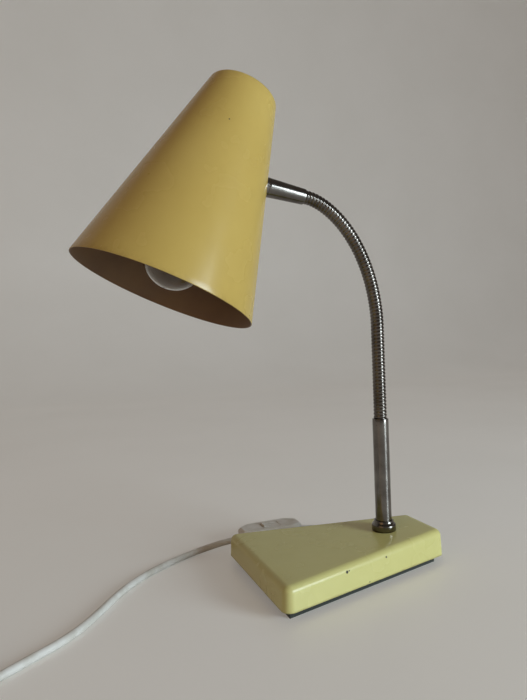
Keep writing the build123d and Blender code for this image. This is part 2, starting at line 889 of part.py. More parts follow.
def coil_tie():
    """A flat strap round the coil's turns at one place."""
    width = coil_outer_r - coil_inner_r + 2 * (cord_r + tie_gap)
    low = tie_thickness + lay_gap
    high = coil_low + layer_height + cord_r + tie_gap
    middle = (coil_outer_r + coil_inner_r) / 2
    inner = Box(width, 2 * tie_width, high - low, align=(Align.CENTER, Align.CENTER, Align.MIN))
    outer = Box(
        width + 2 * tie_thickness,
        tie_width,
        high - low + 2 * tie_thickness,
        align=(Align.CENTER, Align.CENTER, Align.MIN),
    )
    strap = Pos(middle, 0, low - tie_thickness) * outer - Pos(middle, 0, low) * inner
    return Pos(coil_x, coil_y, 0) * Rot(0, 0, tie_angle) * strap


# Plug at the coil's outer end

plug_way = coil_way(coil_total)
plug_start = coil_point(coil_total) + plug_way * coil_tail
plug_z = plug_height / 2 + lay_gap
plug_frame = Plane(origin=plug_start, x_dir=plug_way, z_dir=(0, 0, 1))


def plug_relief():
    """A tapered sleeve on the cord's end."""
    end = plug_relief_length
    sleeve = turned((0, 0), (plug_relief_tip_r, 0), (plug_relief_r, end), (0, end))
    return plug_frame.location * Rot(0, 90, 0) * sleeve


def plug_body():
    """A flat two-pin body that narrows towards the cord."""
    half = plug_width / 2
    neck = plug_neck_width / 2
    outline = [
        (0, -neck),
        (plug_length * 0.62, -half),
        (plug_length, -half),
        (plug_length, half),
        (plug_length * 0.62, half),
        (0, neck),
    ]
    plan = make_face(Polyline(*outline, close=True))
    plan = fillet(plan.vertices().sort_by(Axis.X)[2:4], plug_corner)
    low = lay_gap - plug_start.Z
    body = extrude(Pos(0, 0, low) * plan, plug_height)
    flats = body.faces().filter_by(Axis.Z)
    body = fillet(flats.edges(), plug_edge)
    body = Pos(plug_relief_length, 0, 0) * body
    return plug_frame.location * (body - plug_pin_rods())


def plug_pin_rods():
    rods = []
    for side in (-1, 1):
        rod = Cylinder(pin_r, pin_length + pin_seat, align=(Align.CENTER, Align.CENTER, Align.MIN))
        rod = chamfer(rod.edges().sort_by(Axis.Z)[-1], pin_r / 3)
        start = plug_relief_length + plug_length - pin_seat
        rods.append(Pos(start, side * pin_spacing / 2, plug_z - plug_start.Z) * Rot(0, 90, 0) * rod)
    return Compound(rods)


def plug_pins():
    return plug_frame.location * plug_pin_rods()


# In-line switch

switch_frame = Pos(switch_x, switch_y, 0)


def switch_plan():
    """The switch's plan: full width in the middle, narrower at the cord ends."""
    end = switch_length / 2
    waist = switch_waist / 2
    half = switch_width / 2
    neck = switch_end_width / 2
    side = [(end, neck), (waist, half), (-waist, half), (-end, neck)]
    outline = side + [(-x, -y) for x, y in side]
    plan = make_face(Polyline(*outline, close=True))
    return fillet(plan.vertices(), switch_round)


def switch_cut():
    """What both halves leave free: the cord sockets, the hollow and the screws."""
    sockets = []
    for side in (-1, 1):
        rod = Cylinder(cord_r + cord_gap, 2 * switch_socket)
        sockets.append(Pos(side * switch_length / 2, 0, switch_cord_z) * Rot(0, 90, 0) * rod)
    hollow_height = switch_height - 2 * switch_wall
    hollow = Box(switch_cavity, rocker_width, hollow_height, align=(Align.CENTER, Align.CENTER, Align.MIN))
    return [*sockets, Pos(0, 0, switch_wall) * hollow]


def at_switch_screws(shape):
    places = [(side * switch_screw_x, side * switch_screw_y) for side in (-1, 1)]
    return [Pos(x, y, switch_foot) * shape for x, y in places]


def switch_base():
    half = extrude(Pos(0, 0, switch_foot) * switch_plan(), switch_split)
    half -= switch_cut()
    sunk = Cylinder(switch_screw_head_r + fit_gap, 2 * switch_screw_head)
    half -= at_switch_screws(sunk)
    half -= at_switch_screws(Cylinder(switch_screw_r + fit_gap, 4 * switch_height))
    return switch_frame * half


def switch_cover():
    low = switch_foot + switch_split
    half = extrude(Pos(0, 0, low) * switch_plan(), switch_height - low)
    half = chamfer(half.faces().sort_by(Axis.Z)[-1].edges(), switch_edge)
    half -= switch_cut()
    slot = Box(rocker_length + 2 * rocker_gap, rocker_width + 2 * rocker_gap, 2 * switch_height)
    half -= Pos(0, 0, switch_height) * slot
    axle_length = rocker_width + 2 * rocker_pin_length + 2 * rocker_gap
    half -= Pos(0, 0, rocker_axis_z) * Rot(90, 0, 0) * Cylinder(rocker_pin_r + rocker_pin_gap, axle_length)
    screw_length = switch_height - switch_wall
    thread = Cylinder(switch_screw_r + fit_gap, screw_length, align=(Align.CENTER, Align.CENTER, Align.MIN))
    half -= at_switch_screws(thread)
    return switch_frame * half


def switch_screws():
    head = Cylinder(switch_screw_head_r, switch_screw_head, align=(Align.CENTER, Align.CENTER, Align.MIN))
    length = switch_height - switch_wall - switch_foot - fit_gap
    shank = Cylinder(switch_screw_r, length, align=(Align.CENTER, Align.CENTER, Align.MIN))
    return switch_frame * Compound(at_switch_screws(head + shank))


def switch_rocker():
    """A rocker with two sloping pads on an axle across the switch."""
    half = rocker_length / 2
    outline = [
        (-half, -rocker_depth / 2),
        (0, -rocker_depth),
        (half, -rocker_depth / 2),
        (half, rocker_crown),
        (0, rocker_crown * 0.6),
        (-half, rocker_crown),
    ]
    profile = make_face(Polyline(*[(x, 0, z) for x, z in outline], close=True))
    rocker = extrude(profile, rocker_width / 2, both=True, dir=(0, 1, 0))
    axle_length = rocker_width + 2 * (rocker_pin_length + rocker_gap) - 2 * rocker_gap
    rocker += Rot(90, 0, 0) * Cylinder(rocker_pin_r, axle_length)
    return switch_frame * Pos(0, 0, rocker_axis_z) * Rot(0, rocker_tilt, 0) * rocker


def main():
    cord_lead, lead_length = cord_tube("cord to the switch", lead_route)
    last_runs = [tuple(coil_point(0) - coil_way(0) * reach) for reach in (coil_lead_in, 2 * cord_r)]
    cord_run, run_length = cord_tube("cord to the coil", [*run_route, *last_runs])
    coil, coil_length = cord_coil()
    between = switch_right - switch_left
    print("cord in all", round(lead_length + run_length + coil_length + between, 1))
    pieces = {
        "base_shell": base_shell(),
        "base_ballast": base_ballast(),
        "base_plate": base_plate(),
        "base_felt": base_felt(),
        "plate_screws": plate_screws(),
        "cord_relief": cord_relief(),
        "cord_clamp": cord_clamp(),
        "clamp_screws": clamp_screws(),
        "post_tube": post_tube(),
        "post_collar": post_collar(),
        "post_nipple": post_nipple(),
        "post_washer": post_washer(),
        "post_nut": post_nut(),
        **neck_lengths_of_hose(),
        "neck_leads": neck_leads(),
        "head_ferrule": head_ferrule(),
        "head_ring": head_ring(),
        "head_nipple": head_nipple(),
        "head_washer": head_washer(),
        "head_nut": head_nut(),
        "shade": shade(),
        "socket_bracket": socket_bracket(),
        "socket_body": socket_body(),
        "socket_nut": socket_nut(),
        "socket_sleeve": socket_sleeve(),
        "socket_contact": socket_contact(),
        "socket_leads": socket_leads(),
        "bulb_glass": bulb_glass(),
        "bulb_cap": bulb_cap(),
        "bulb_tip": bulb_tip(),
        "bulb_filament": bulb_filament(),
        "cord_lead": cord_lead,
        "cord_run": cord_run,
        "cord_coil": coil,
        "coil_tie": coil_tie(),
        "plug_relief": plug_relief(),
        "plug_body": plug_body(),
        "plug_pins": plug_pins(),
        "switch_base": switch_base(),
        "switch_cover": switch_cover(),
        "switch_screws": switch_screws(),
        "switch_rocker": switch_rocker(),
    }
    os.makedirs("parts", exist_ok=True)
    for name, piece in pieces.items():
        export_step(piece, f"parts/{name}.step")
    for k, place in enumerate(neck_places[1:-1]):
        print("hinge", k + 1, [round(v, 4) for v in place])
    print("shade rim centre", [round(v, 3) for v in rim_centre], "axis", [round(v, 5) for v in shade_axis])


main()
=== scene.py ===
# %% [markdown]
# # A gooseneck desk lamp
# The CAD model gives every piece its size and place. This file dresses it: smooth surfaces for what
# shows most, real finishes for everything, and a camera that stands where the photographer stood.
# Lengths are written in millimetres and turned to metres once, when a mesh is made.

# %% Start: load the CAD frame and its joints
import json

import bpy
import numpy as np
from mathutils import Matrix, Vector


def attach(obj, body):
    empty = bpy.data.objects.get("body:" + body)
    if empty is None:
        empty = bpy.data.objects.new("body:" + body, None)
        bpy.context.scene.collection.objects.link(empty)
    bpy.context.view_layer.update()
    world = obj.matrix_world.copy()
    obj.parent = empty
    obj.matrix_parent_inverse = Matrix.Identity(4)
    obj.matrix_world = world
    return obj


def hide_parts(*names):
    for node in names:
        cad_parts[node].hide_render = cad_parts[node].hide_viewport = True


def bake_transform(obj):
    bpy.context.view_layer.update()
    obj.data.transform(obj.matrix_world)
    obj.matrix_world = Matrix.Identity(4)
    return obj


MM = 0.001
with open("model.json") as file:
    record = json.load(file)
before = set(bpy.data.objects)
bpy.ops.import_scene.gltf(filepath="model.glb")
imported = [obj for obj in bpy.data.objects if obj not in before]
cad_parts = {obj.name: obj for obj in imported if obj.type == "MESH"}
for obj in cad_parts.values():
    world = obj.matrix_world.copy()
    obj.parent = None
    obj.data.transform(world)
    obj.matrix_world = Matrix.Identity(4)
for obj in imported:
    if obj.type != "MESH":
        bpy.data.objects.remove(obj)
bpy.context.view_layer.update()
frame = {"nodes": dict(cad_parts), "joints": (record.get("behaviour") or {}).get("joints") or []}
joints = {joint["name"]: joint for joint in frame["joints"]}

# %% [markdown]
# ## Camera
# A photograph's view can be found again by fitting a pinhole camera to the outlines of things whose
# shape is known: here the round post, the cone of the shade and the straight edges of the base. The fit
# gives the camera's place, its heading, its slight tilts and its focal length in pixels. Blender wants
# the focal length in millimetres of sensor, so the image width carries one to the other.

# %% Camera at the photographer's place
IMAGE_WIDTH = 527
CAMERA_MM = (-242.8, -371.4, 178.0)
HEADING, PITCH, ROLL = -21.47, -1.02, -2.12  # degrees: turned right, looking down, leaning
FOCAL_PIXELS = 552.6


def camera_axes(heading, pitch, roll):
    """Right, up and forward: +Y turned by the heading and the pitch, and all three leaned by the roll."""
    h, p, r = np.radians((heading, pitch, roll))
    level = np.array((np.cos(h), np.sin(h), 0))
    ahead = np.array((-np.sin(h), np.cos(h), 0))
    above = np.array((0, 0, 1))
    forward = ahead * np.cos(p) + above * np.sin(p)
    upright = above * np.cos(p) - ahead * np.sin(p)
    right = level * np.cos(r) + upright * np.sin(r)
    return right, upright * np.cos(r) - level * np.sin(r), forward


right, up, forward = camera_axes(HEADING, PITCH, ROLL)
lens = bpy.data.cameras.new("photo_camera")
lens.sensor_fit = "HORIZONTAL"
lens.lens = FOCAL_PIXELS * lens.sensor_width / IMAGE_WIDTH
camera = bpy.data.objects.new("photo_camera", lens)
bpy.context.scene.collection.objects.link(camera)
turn = Matrix((right, up, -forward)).transposed().to_4x4()
camera.matrix_world = Matrix.Translation([v * MM for v in CAMERA_MM]) @ turn
bpy.context.scene.camera = camera
print("lens", round(lens.lens, 2), "mm on a", lens.sensor_width, "mm sensor")

# %% [markdown]
# ## Making meshes from arrays
# A surface is a stack of rings of points. Numpy works out all points at once, and the faces follow from
# the points' own numbering: four corners between neighbouring rings, and a fan of triangles where the
# shape ends in a tip. The sign of the enclosed volume tells whether the faces point outwards.

# %% Skins of points and faces


def skin(rings, tips=None):
    """Four-cornered faces between neighbouring rings, and a fan from each end ring to its tip.

    Without tips the last ring joins the first, as in a sleeve.
    """
    rows, columns = rings.shape[:2]
    number = np.arange(rows * columns).reshape(rows, columns)
    below = number if tips is None else number[:-1]
    above = np.roll(number, -1, 0)[:len(below)]
    quads = np.stack((below, np.roll(below, -1, 1), np.roll(above, -1, 1), above), -1).reshape(-1, 4)
    if tips is None:
        return rings.reshape(-1, 3), quads, np.empty((0, 3), int)
    first, last = number[0], number[-1]
    fans = np.concatenate((
        np.stack((np.roll(first, -1), first, np.full(columns, number.size)), -1),
        np.stack((last, np.roll(last, -1), np.full(columns, number.size + 1)), -1),
    ))
    return np.concatenate((rings.reshape(-1, 3), tips)), quads, fans


def outward(points, quads, fans):
    """The faces, turned round if the volume that they enclose, summed over triangles, is negative."""
    a, b, c = points[np.concatenate((quads[:, [0, 1, 2]], quads[:, [0, 2, 3]], fans)).T]
    inside_out = np.einsum("ij,ij->", a, np.cross(b, c)) < 0
    return (quads[:, ::-1], fans[:, ::-1]) if inside_out else (quads, fans)


def mesh_piece(name, parts, materials, wear=None):
    """One object from (skin, material number) parts in millimetres.

    A part has one number for all of its faces, or one for each of them.
    """
    points, faces, slots, start = [], [], [], 0
    for (part_points, quads, fans), slot in parts:
        quads, fans = outward(part_points, quads, fans)
        faces += (quads + start).tolist() + (fans + start).tolist()
        slots.append(np.broadcast_to(slot, len(quads) + len(fans)))
        points.append(part_points)
        start += len(part_points)
    mesh = bpy.data.meshes.new(name)
    mesh.from_pydata(np.concatenate(points) * MM, [], faces)
    for material in materials:
        mesh.materials.append(material)
    mesh.polygons.foreach_set("material_index", np.concatenate(slots).astype(np.int32))
    mesh.polygons.foreach_set("use_smooth", np.ones(len(faces), bool))
    if wear is not None:
        values = mesh.attributes.new("wear", "FLOAT", "POINT").data
        values.foreach_set("value", wear.astype(np.float32))
    piece = bpy.data.objects.new(name, mesh)
    bpy.context.scene.collection.objects.link(piece)
    print(name, len(mesh.vertices), "points", len(mesh.polygons), "faces")
    return piece


def settle(piece, body, slot, *nodes):
    """The piece moves with a body and replaces CAD nodes, which are hidden; slot is not used."""
    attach(piece, body)
    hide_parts(*nodes)


# %% Profiles
TURNED_COLUMNS = 96


def turned(profile, axes, columns=TURNED_COLUMNS):
    """A profile of (radius, height) carried once round an axis: origin + radius * (cos, sin) + height.

    A profile that starts and ends on the axis closes in two tips; any other is a loop.
    """
    profile = np.asarray(profile, float)
    origin, x_axis, y_axis, z_axis = axes
    angle = np.linspace(0, 2 * np.pi, columns, endpoint=False)
    ring = np.cos(angle)[:, None] * x_axis + np.sin(angle)[:, None] * y_axis
    rings = origin + profile[:, None, :1] * ring + profile[:, None, 1:] * z_axis
    return skin(rings) if profile[0, 0] > 0 else skin(rings[1:-1], rings[[0, -1], 0])


def arc(centre, radius, start, end, steps):
    """Points of a circular arc in a profile, from one angle to another in degrees."""
    a = np.radians(np.linspace(start, end, steps))
    return np.stack((centre[0] + radius * np.cos(a), centre[1] + radius * np.sin(a)), 1)


# %% [markdown]
# ## Materials
# Each finish is one Principled shader whose colour, roughness and bump come from noise at the scale of
# the real surface. Colours are written as sRGB hex values, as a colour picker shows them, and turned to
# the linear light that the renderer works in. One helper adds a node: what it is given for a socket is
# linked if it is another node's output, and set if it is a number or a colour. Some nodes have several
# sockets of one name, so those go by their number, which gets a plain name here.

# %% Node helpers
IN, LOW, HIGH, TO_LOW, TO_HIGH = range(5)  # Map Range: what comes in, its range, and the range it goes to
A, B, C = range(3)  # Math: the first, second and third value
SHARE, FIRST, SECOND = 0, 6, 7  # Mix, when it mixes colours
COLOURS = {"out": 2, "data_type": "RGBA"}  # makes Mix mix colours, and takes that result


def linear(code):
    """An sRGB hex colour as linear red, green, blue and alpha.

    The sRGB curve is a straight line near black and a power of 2.4 above it.
    """
    value = np.array([int(code[i:i + 2], 16) for i in (1, 3, 5)]) / 255
    light = np.where(value <= 0.04045, value / 12.92, ((value + 0.055) / 1.055) ** 2.4)
    return (*light.tolist(), 1.0)


def per_mm(size):
    """A pattern's scale for features of that many millimetres, on coordinates in metres."""
    return 1 / (size * MM)


def feed(tree, node, inputs):
    """Links each socket to an output, or sets it to a value."""
    for socket, value in dict(inputs).items():
        if isinstance(value, bpy.types.NodeSocket):
            tree.links.new(value, node.inputs[socket])
        else:
            node.inputs[socket].default_value = value


def add(tree, kind, inputs=(), out=0, **settings):
    """A new node with its settings and inputs; the result is one of its outputs."""
    node = tree.nodes.new(f"ShaderNode{kind}")
    for key, value in settings.items():
        setattr(node, key, value)
    feed(tree, node, inputs)
    return node.outputs[out]


def finish(name):
    """A new material: its tree, its shader and the place on the piece in metres."""
    material = bpy.data.materials.new(name)
    material.use_nodes = True
    tree = material.node_tree
    return material, tree, tree.nodes["Principled BSDF"], add(tree, "TexCoord", out="Object")


print("the grey #808080 is", round(linear("#808080")[0], 3), "in linear light")

# %% [markdown]
# ### Stoving lacquer
# The shade and the base are pressed from sheet steel and sprayed with a pale yellow lacquer that is baked
# hard. It is smooth and glossy enough to mirror the post in the base, with the faint orange-peel ripple
# of spraying. Age has faded it in soft clouds. Both parts wear the same paint, but the base gets a paler,
# greener tone and the shade a deeper, warmer one: painted cool window light on the base and painted warm
# room light on the shade. The meshes carry a wear value that is high along their edges, where rubbing
# has thinned and darkened the coat, and a few knocks have chipped it to dark steel.

# %% Lacquer outside
CHIPS_MM = [  # middle and radius
    ((-59.8, -45.5, 19.4), 1.0),
    ((-58.0, -45.1, 19.8), 0.6),
    ((-22.9, -36.8, 20.0), 0.8),
    ((-39.9, -41.4, 7.3), 0.45),
    ((-127.8, -34.5, 320.0), 0.5),
]
CHIP_RAGGED, CHIP_OUTER, CHIP_INNER = 2.0, 2.1, 1.8  # times the radius: the edge's raggedness and place
CHIP_DEPTH, CHIP_DULL = 4.0, 0.4  # times the ripple's height, and added roughness
RIPPLE_MM, RIPPLE_DEPTH_MM = 1.8, 0.02


def yellow_lacquer(name, light, dark):
    """Lacquer between a light and a dark tone in clouds, with grime, rubbed edges and chips over it."""
    material, tree, shader, place = finish(name)
    # fading: two close yellows in clouds as wide as a hand
    clouds = add(tree, "TexNoise", {"Vector": place, "Scale": per_mm(70), "Detail": 3.0})
    clouds = add(tree, "MapRange", {IN: clouds, LOW: 0.2, HIGH: 0.8})
    colour = add(tree, "Mix", {SHARE: clouds, FIRST: linear(light), SECOND: linear(dark)}, **COLOURS)
    # faint grime that polishing has left
    grime = add(tree, "TexNoise", {"Vector": place, "Scale": per_mm(9), "Detail": 3.0})
    grime = add(tree, "MapRange", {IN: grime, LOW: 0.1, HIGH: 0.9, TO_HIGH: 0.06})
    colour = add(tree, "Mix", {SHARE: grime, FIRST: colour, SECOND: linear("#98834A")}, **COLOURS)
    # rubbed edges, broken up
    broken = add(tree, "TexNoise", {"Vector": place, "Scale": per_mm(4), "Detail": 8.0, "Roughness": 0.7})
    wear = add(tree, "Attribute", out="Fac", attribute_name="wear")
    patches = add(tree, "MapRange", {IN: broken, LOW: 0.4, HIGH: 0.75, TO_HIGH: 0.5})
    rubbed = add(tree, "Math", {A: wear, B: patches}, operation="MULTIPLY")
    colour = add(tree, "Mix", {SHARE: rubbed, FIRST: colour, SECOND: linear("#8B7440")}, **COLOURS)
    # chips: ragged spots about the places of the knocks
    chipped = 0.0
    for spot, radius in CHIPS_MM:
        centre, size = [v * MM for v in spot], radius * MM
        away = add(tree, "VectorMath", {A: place, B: centre}, out="Value", operation="DISTANCE")
        ragged = add(tree, "Math", {A: broken, B: CHIP_RAGGED * size, C: away}, operation="MULTIPLY_ADD")
        inside = add(tree, "MapRange", {IN: ragged, LOW: CHIP_OUTER * size, HIGH: CHIP_INNER * size})
        chipped = add(tree, "Math", {A: chipped, B: inside}, operation="MAXIMUM")
    colour = add(tree, "Mix", {SHARE: chipped, FIRST: colour, SECOND: linear("#2E2B26")}, **COLOURS)
    # gloss, uneven from polishing and dull in the chips
    gloss = add(tree, "TexNoise", {"Vector": place, "Scale": per_mm(22), "Detail": 2.0})
    gloss = add(tree, "MapRange", {IN: gloss, LOW: 0.1, HIGH: 0.9, TO_LOW: 0.2, TO_HIGH: 0.32})
    gloss = add(tree, "Math", {A: chipped, B: CHIP_DULL, C: gloss}, operation="MULTIPLY_ADD")
    # spray ripple, with the chips sunk into it
    ripple = add(tree, "TexNoise", {"Vector": place, "Scale": per_mm(RIPPLE_MM), "Detail": 2.0})
    relief = add(tree, "Math", {A: chipped, B: -CHIP_DEPTH, C: ripple}, operation="MULTIPLY_ADD")
    normal = add(tree, "Bump", {"Height": relief, "Distance": RIPPLE_DEPTH_MM * MM, "Strength": 0.5})
    feed(tree, shader, {"Base Color": colour, "Roughness": gloss, "Normal": normal, "IOR": 1.45})
    return material


# one paint in two tones: the shade's deeper, warmer tone is painted warm room light, the base's paler,
# greener tone painted cool window light
lacquer = yellow_lacquer("room_lit_yellow_lacquer", "#CDB163", "#C3A557")
window_lit_lacquer = yellow_lacquer("window_lit_yellow_lacquer", "#DCD893", "#D2CC82")
print("made", lacquer.name, "and", window_lit_lacquer.name, "with", len(CHIPS_MM), "chips")

# %% Lacquer inside the shade


def browned_and_shaded_inner_lacquer():
    """The same coat inside the shade, browned in clouds partly by the lamp's heat and partly as painted
    shade, and duller with dust.
    """
    material, tree, shader, place = finish("heat_browned_and_shaded_inner_lacquer")
    clouds = add(tree, "TexNoise", {"Vector": place, "Scale": per_mm(35), "Detail": 5.0})
    clouds = add(tree, "MapRange", {IN: clouds, LOW: 0.3, HIGH: 0.7})
    # brown and tan sit well below the outer yellow: partly heat browning, partly painted shade inside the
    # cone
    brown, tan = linear("#7E6046"), linear("#957552")
    colour = add(tree, "Mix", {SHARE: clouds, FIRST: brown, SECOND: tan}, **COLOURS)
    dull = add(tree, "MapRange", {IN: clouds, TO_LOW: 0.45, TO_HIGH: 0.6})
    ripple = add(tree, "TexNoise", {"Vector": place, "Scale": per_mm(RIPPLE_MM), "Detail": 2.0})
    normal = add(tree, "Bump", {"Height": ripple, "Distance": RIPPLE_DEPTH_MM * MM, "Strength": 0.5})
    feed(tree, shader, {"Base Color": colour, "Roughness": dull, "Normal": normal, "IOR": 1.5})
    return material


inner_lacquer = browned_and_shaded_inner_lacquer()
print("made", inner_lacquer.name)

# %% [markdown]
# ### Bare metals
# Post, collar, neck and ferrule are nickel-plated and polished, so they mirror what is round them: a
# metal shader with low roughness. Their colour is darkened to a warm grey, the neck's darker still:
# painted dark reflection of a dim room. Age has left duller patches. Cleaning marks run round the tube, so
# that noise is squeezed along the axis. The hidden fixings are zinc-plated steel, brass, aluminium and
# cast
# iron: one recipe with stains and a grain.

# %% Nickel and plain metals


def nickel_plate(name, stretch, clean, dull):
    """Nickel in clean and dull patches with dark spots, and cleaning marks squeezed along an axis."""
    material, tree, shader, place = finish(name)
    tarnish = add(tree, "TexNoise", {"Vector": place, "Scale": per_mm(16), "Detail": 6.0})
    tarnish = add(tree, "MapRange", {IN: tarnish, LOW: 0.42, HIGH: 0.72})
    colour = add(tree, "Mix", {SHARE: tarnish, FIRST: linear(clean), SECOND: linear(dull)}, **COLOURS)
    spots = add(tree, "TexNoise", {"Vector": place, "Scale": per_mm(2.2), "Detail": 4.0})
    spots = add(tree, "MapRange", {IN: spots, LOW: 0.66, HIGH: 0.74, TO_HIGH: 0.5})
    colour = add(tree, "Mix", {SHARE: spots, FIRST: colour, SECOND: linear("#3F392F")}, **COLOURS)
    # cleaning marks vary the gloss and stand a hair proud
    squeezed = add(tree, "Mapping", {"Vector": place, "Scale": stretch})
    marks = add(tree, "TexNoise", {"Vector": squeezed, "Scale": per_mm(5), "Detail": 4.0})
    gloss = add(tree, "MapRange", {IN: marks, LOW: 0.3, HIGH: 0.7, TO_LOW: 0.12, TO_HIGH: 0.22})
    gloss = add(tree, "Math", {A: spots, B: 0.3, C: gloss}, operation="MULTIPLY_ADD")
    normal = add(tree, "Bump", {"Height": marks, "Distance": 0.01 * MM, "Strength": 0.3})
    feed(tree, shader, {"Base Color": colour, "Roughness": gloss, "Normal": normal, "Metallic": 1.0})
    return material


STAIN_GRAINS, STAIN_DULL = 4, 0.15  # a stain's width in grains, and the roughness that it adds


def plain_metal(name, light, dark, grain, rough):
    """A bare metal with stains and a grain of that many millimetres."""
    material, tree, shader, place = finish(name)
    stain_scale = per_mm(STAIN_GRAINS * grain)
    stains = add(tree, "TexNoise", {"Vector": place, "Scale": stain_scale, "Detail": 5.0})
    stains = add(tree, "MapRange", {IN: stains, LOW: 0.35, HIGH: 0.7})
    colour = add(tree, "Mix", {SHARE: stains, FIRST: linear(light), SECOND: linear(dark)}, **COLOURS)
    gloss = add(tree, "MapRange", {IN: stains, TO_LOW: rough, TO_HIGH: rough + STAIN_DULL})
    pits = add(tree, "TexNoise", {"Vector": place, "Scale": per_mm(grain), "Detail": 3.0})
    normal = add(tree, "Bump", {"Height": pits, "Distance": 0.03 * MM, "Strength": 0.4})
    feed(tree, shader, {"Base Color": colour, "Roughness": gloss, "Normal": normal, "Metallic": 1.0})
    return material


ROUND_THE_TUBE, ALL_WAYS = (1.0, 1.0, 14.0), (1.0, 1.0, 1.0)
# both nickels are far darker than bright nickel, the neck's most: painted dark reflection; the clean and
# dull tones are tarnish
nickel = nickel_plate("nickel_with_painted_dark_reflection", ROUND_THE_TUBE, "#807C77", "#5F5B57")
hose_nickel = nickel_plate("neck_nickel_with_painted_dark_reflection", ALL_WAYS, "#716C67", "#514C48")
zinc = plain_metal("zinc_plated_steel", "#A9A69C", "#77736A", 1.2, 0.32)
brass = plain_metal("stamped_brass", "#C2A25A", "#8E7238", 1.0, 0.28)
cap_metal = plain_metal("drawn_aluminium", "#B9B9B6", "#8D8C88", 0.8, 0.35)
iron = plain_metal("cast_iron", "#4A4743", "#322F2C", 1.5, 0.6)
print("made bare metals")

# %% [markdown]
# ### Plastics, rubber, felt and glass
# The cord is sheathed in white PVC and the switch and plug are moulded in white plastic: both pick up a
# little grime in clouds. The plinth is dull black plastic, the felt under it a fuzzy green-black, the
# lamp holder dark phenolic. The bulb is clear glass, so its rim shows bright and its middle dark.

# %% Other finishes
GRIME_GRAINS, GRIME_DULL = 12, 0.15  # a cloud's width in grains, and the roughness that it adds


def moulded(name, light, dark, grain, rough):
    """A moulded surface: two close colours in clouds, and a grain of that many millimetres."""
    material, tree, shader, place = finish(name)
    grime_scale = per_mm(GRIME_GRAINS * grain)
    grime = add(tree, "TexNoise", {"Vector": place, "Scale": grime_scale, "Detail": 6.0})
    grime = add(tree, "MapRange", {IN: grime, LOW: 0.4, HIGH: 0.75})
    colour = add(tree, "Mix", {SHARE: grime, FIRST: linear(light), SECOND: linear(dark)}, **COLOURS)
    gloss = add(tree, "MapRange", {IN: grime, TO_LOW: rough, TO_HIGH: rough + GRIME_DULL})
    pores = add(tree, "TexNoise", {"Vector": place, "Scale": per_mm(grain), "Detail": 3.0})
    normal = add(tree, "Bump", {"Height": pores, "Distance": 0.02 * MM, "Strength": 0.5})
    feed(tree, shader, {"Base Color": colour, "Roughness": gloss, "Normal": normal, "IOR": 1.46})
    return material


def felt_pile():
    """Pressed wool: fibres about half a millimetre long, and a sheen from the loose ones."""
    material, tree, shader, place = finish("pressed_wool_felt")
    fibres = add(tree, "TexNoise", {"Vector": place, "Scale": per_mm(0.5), "Detail": 6.0})
    dark, pale = linear("#1E2420"), linear("#353D36")
    colour = add(tree, "Mix", {SHARE: fibres, FIRST: dark, SECOND: pale}, **COLOURS)
    normal = add(tree, "Bump", {"Height": fibres, "Distance": 0.2 * MM, "Strength": 0.8})
    feed(tree, shader, {"Base Color": colour, "Normal": normal, "Roughness": 0.95, "Sheen Weight": 0.4})
    return material


def lamp_glass():
    """Blown lamp glass: clear, with the slight waviness of blowing and a trace of dust."""
    material, tree, shader, place = finish("blown_lamp_glass")
    waves = add(tree, "TexNoise", {"Vector": place, "Scale": per_mm(9), "Detail": 3.0})
    clear, dusty = linear("#F4F5F2"), linear("#E2E3DD")
    colour = add(tree, "Mix", {SHARE: waves, FIRST: clear, SECOND: dusty}, **COLOURS)
    haze = add(tree, "MapRange", {IN: waves, LOW: 0.4, HIGH: 0.7, TO_LOW: 0.02, TO_HIGH: 0.06})
    normal = add(tree, "Bump", {"Height": waves, "Distance": 0.02 * MM, "Strength": 0.4})
    feed(tree, shader, {"Base Color": colour, "Roughness": haze, "Normal": normal})
    feed(tree, shader, {"Transmission Weight": 1.0, "IOR": 1.47})
    return material


pvc = moulded("white_pvc_sheath", "#E6E4DE", "#C9C4B8", 0.9, 0.38)
white_moulding = moulded("white_moulded_urea", "#E8E6E0", "#CFCABE", 0.7, 0.28)
white_rubber = moulded("white_rubber", "#DEDBD3", "#BDB8AC", 0.8, 0.55)
black_plinth = moulded("black_plinth_plastic", "#1C1B1A", "#2B2927", 1.0, 0.5)
phenolic = moulded("dark_phenolic", "#231C18", "#382D26", 0.8, 0.35)
brown_wire = moulded("brown_wire_insulation", "#7A4A26", "#5C381D", 0.5, 0.45)
felt = felt_pile()
glass = lamp_glass()
print("made plastics, felt and glass")

# %% [markdown]
# ## Light and floor
# A plain studio: a pale floor that sweeps up into a backdrop, a soft light low on the right and in front
# like the window in the photograph, a weak warm one on the left and a dim warm world. The sweep is one
# surface: a profile that is flat, then a quarter arc, then upright, carried sideways. Plain light alone
# would leave it grey, so the camera, metal and glass see it with a faint glow that lights nothing else.

# %% Floor sweep
FLOOR_FRONT, SWEEP_START, SWEEP_R, WALL_TOP, FLOOR_HALF = -3.0, 1.4, 0.5, 3.0, 4.0  # metres
SWEEP_STEPS = 16
FLOOR_GLOW = 0.22


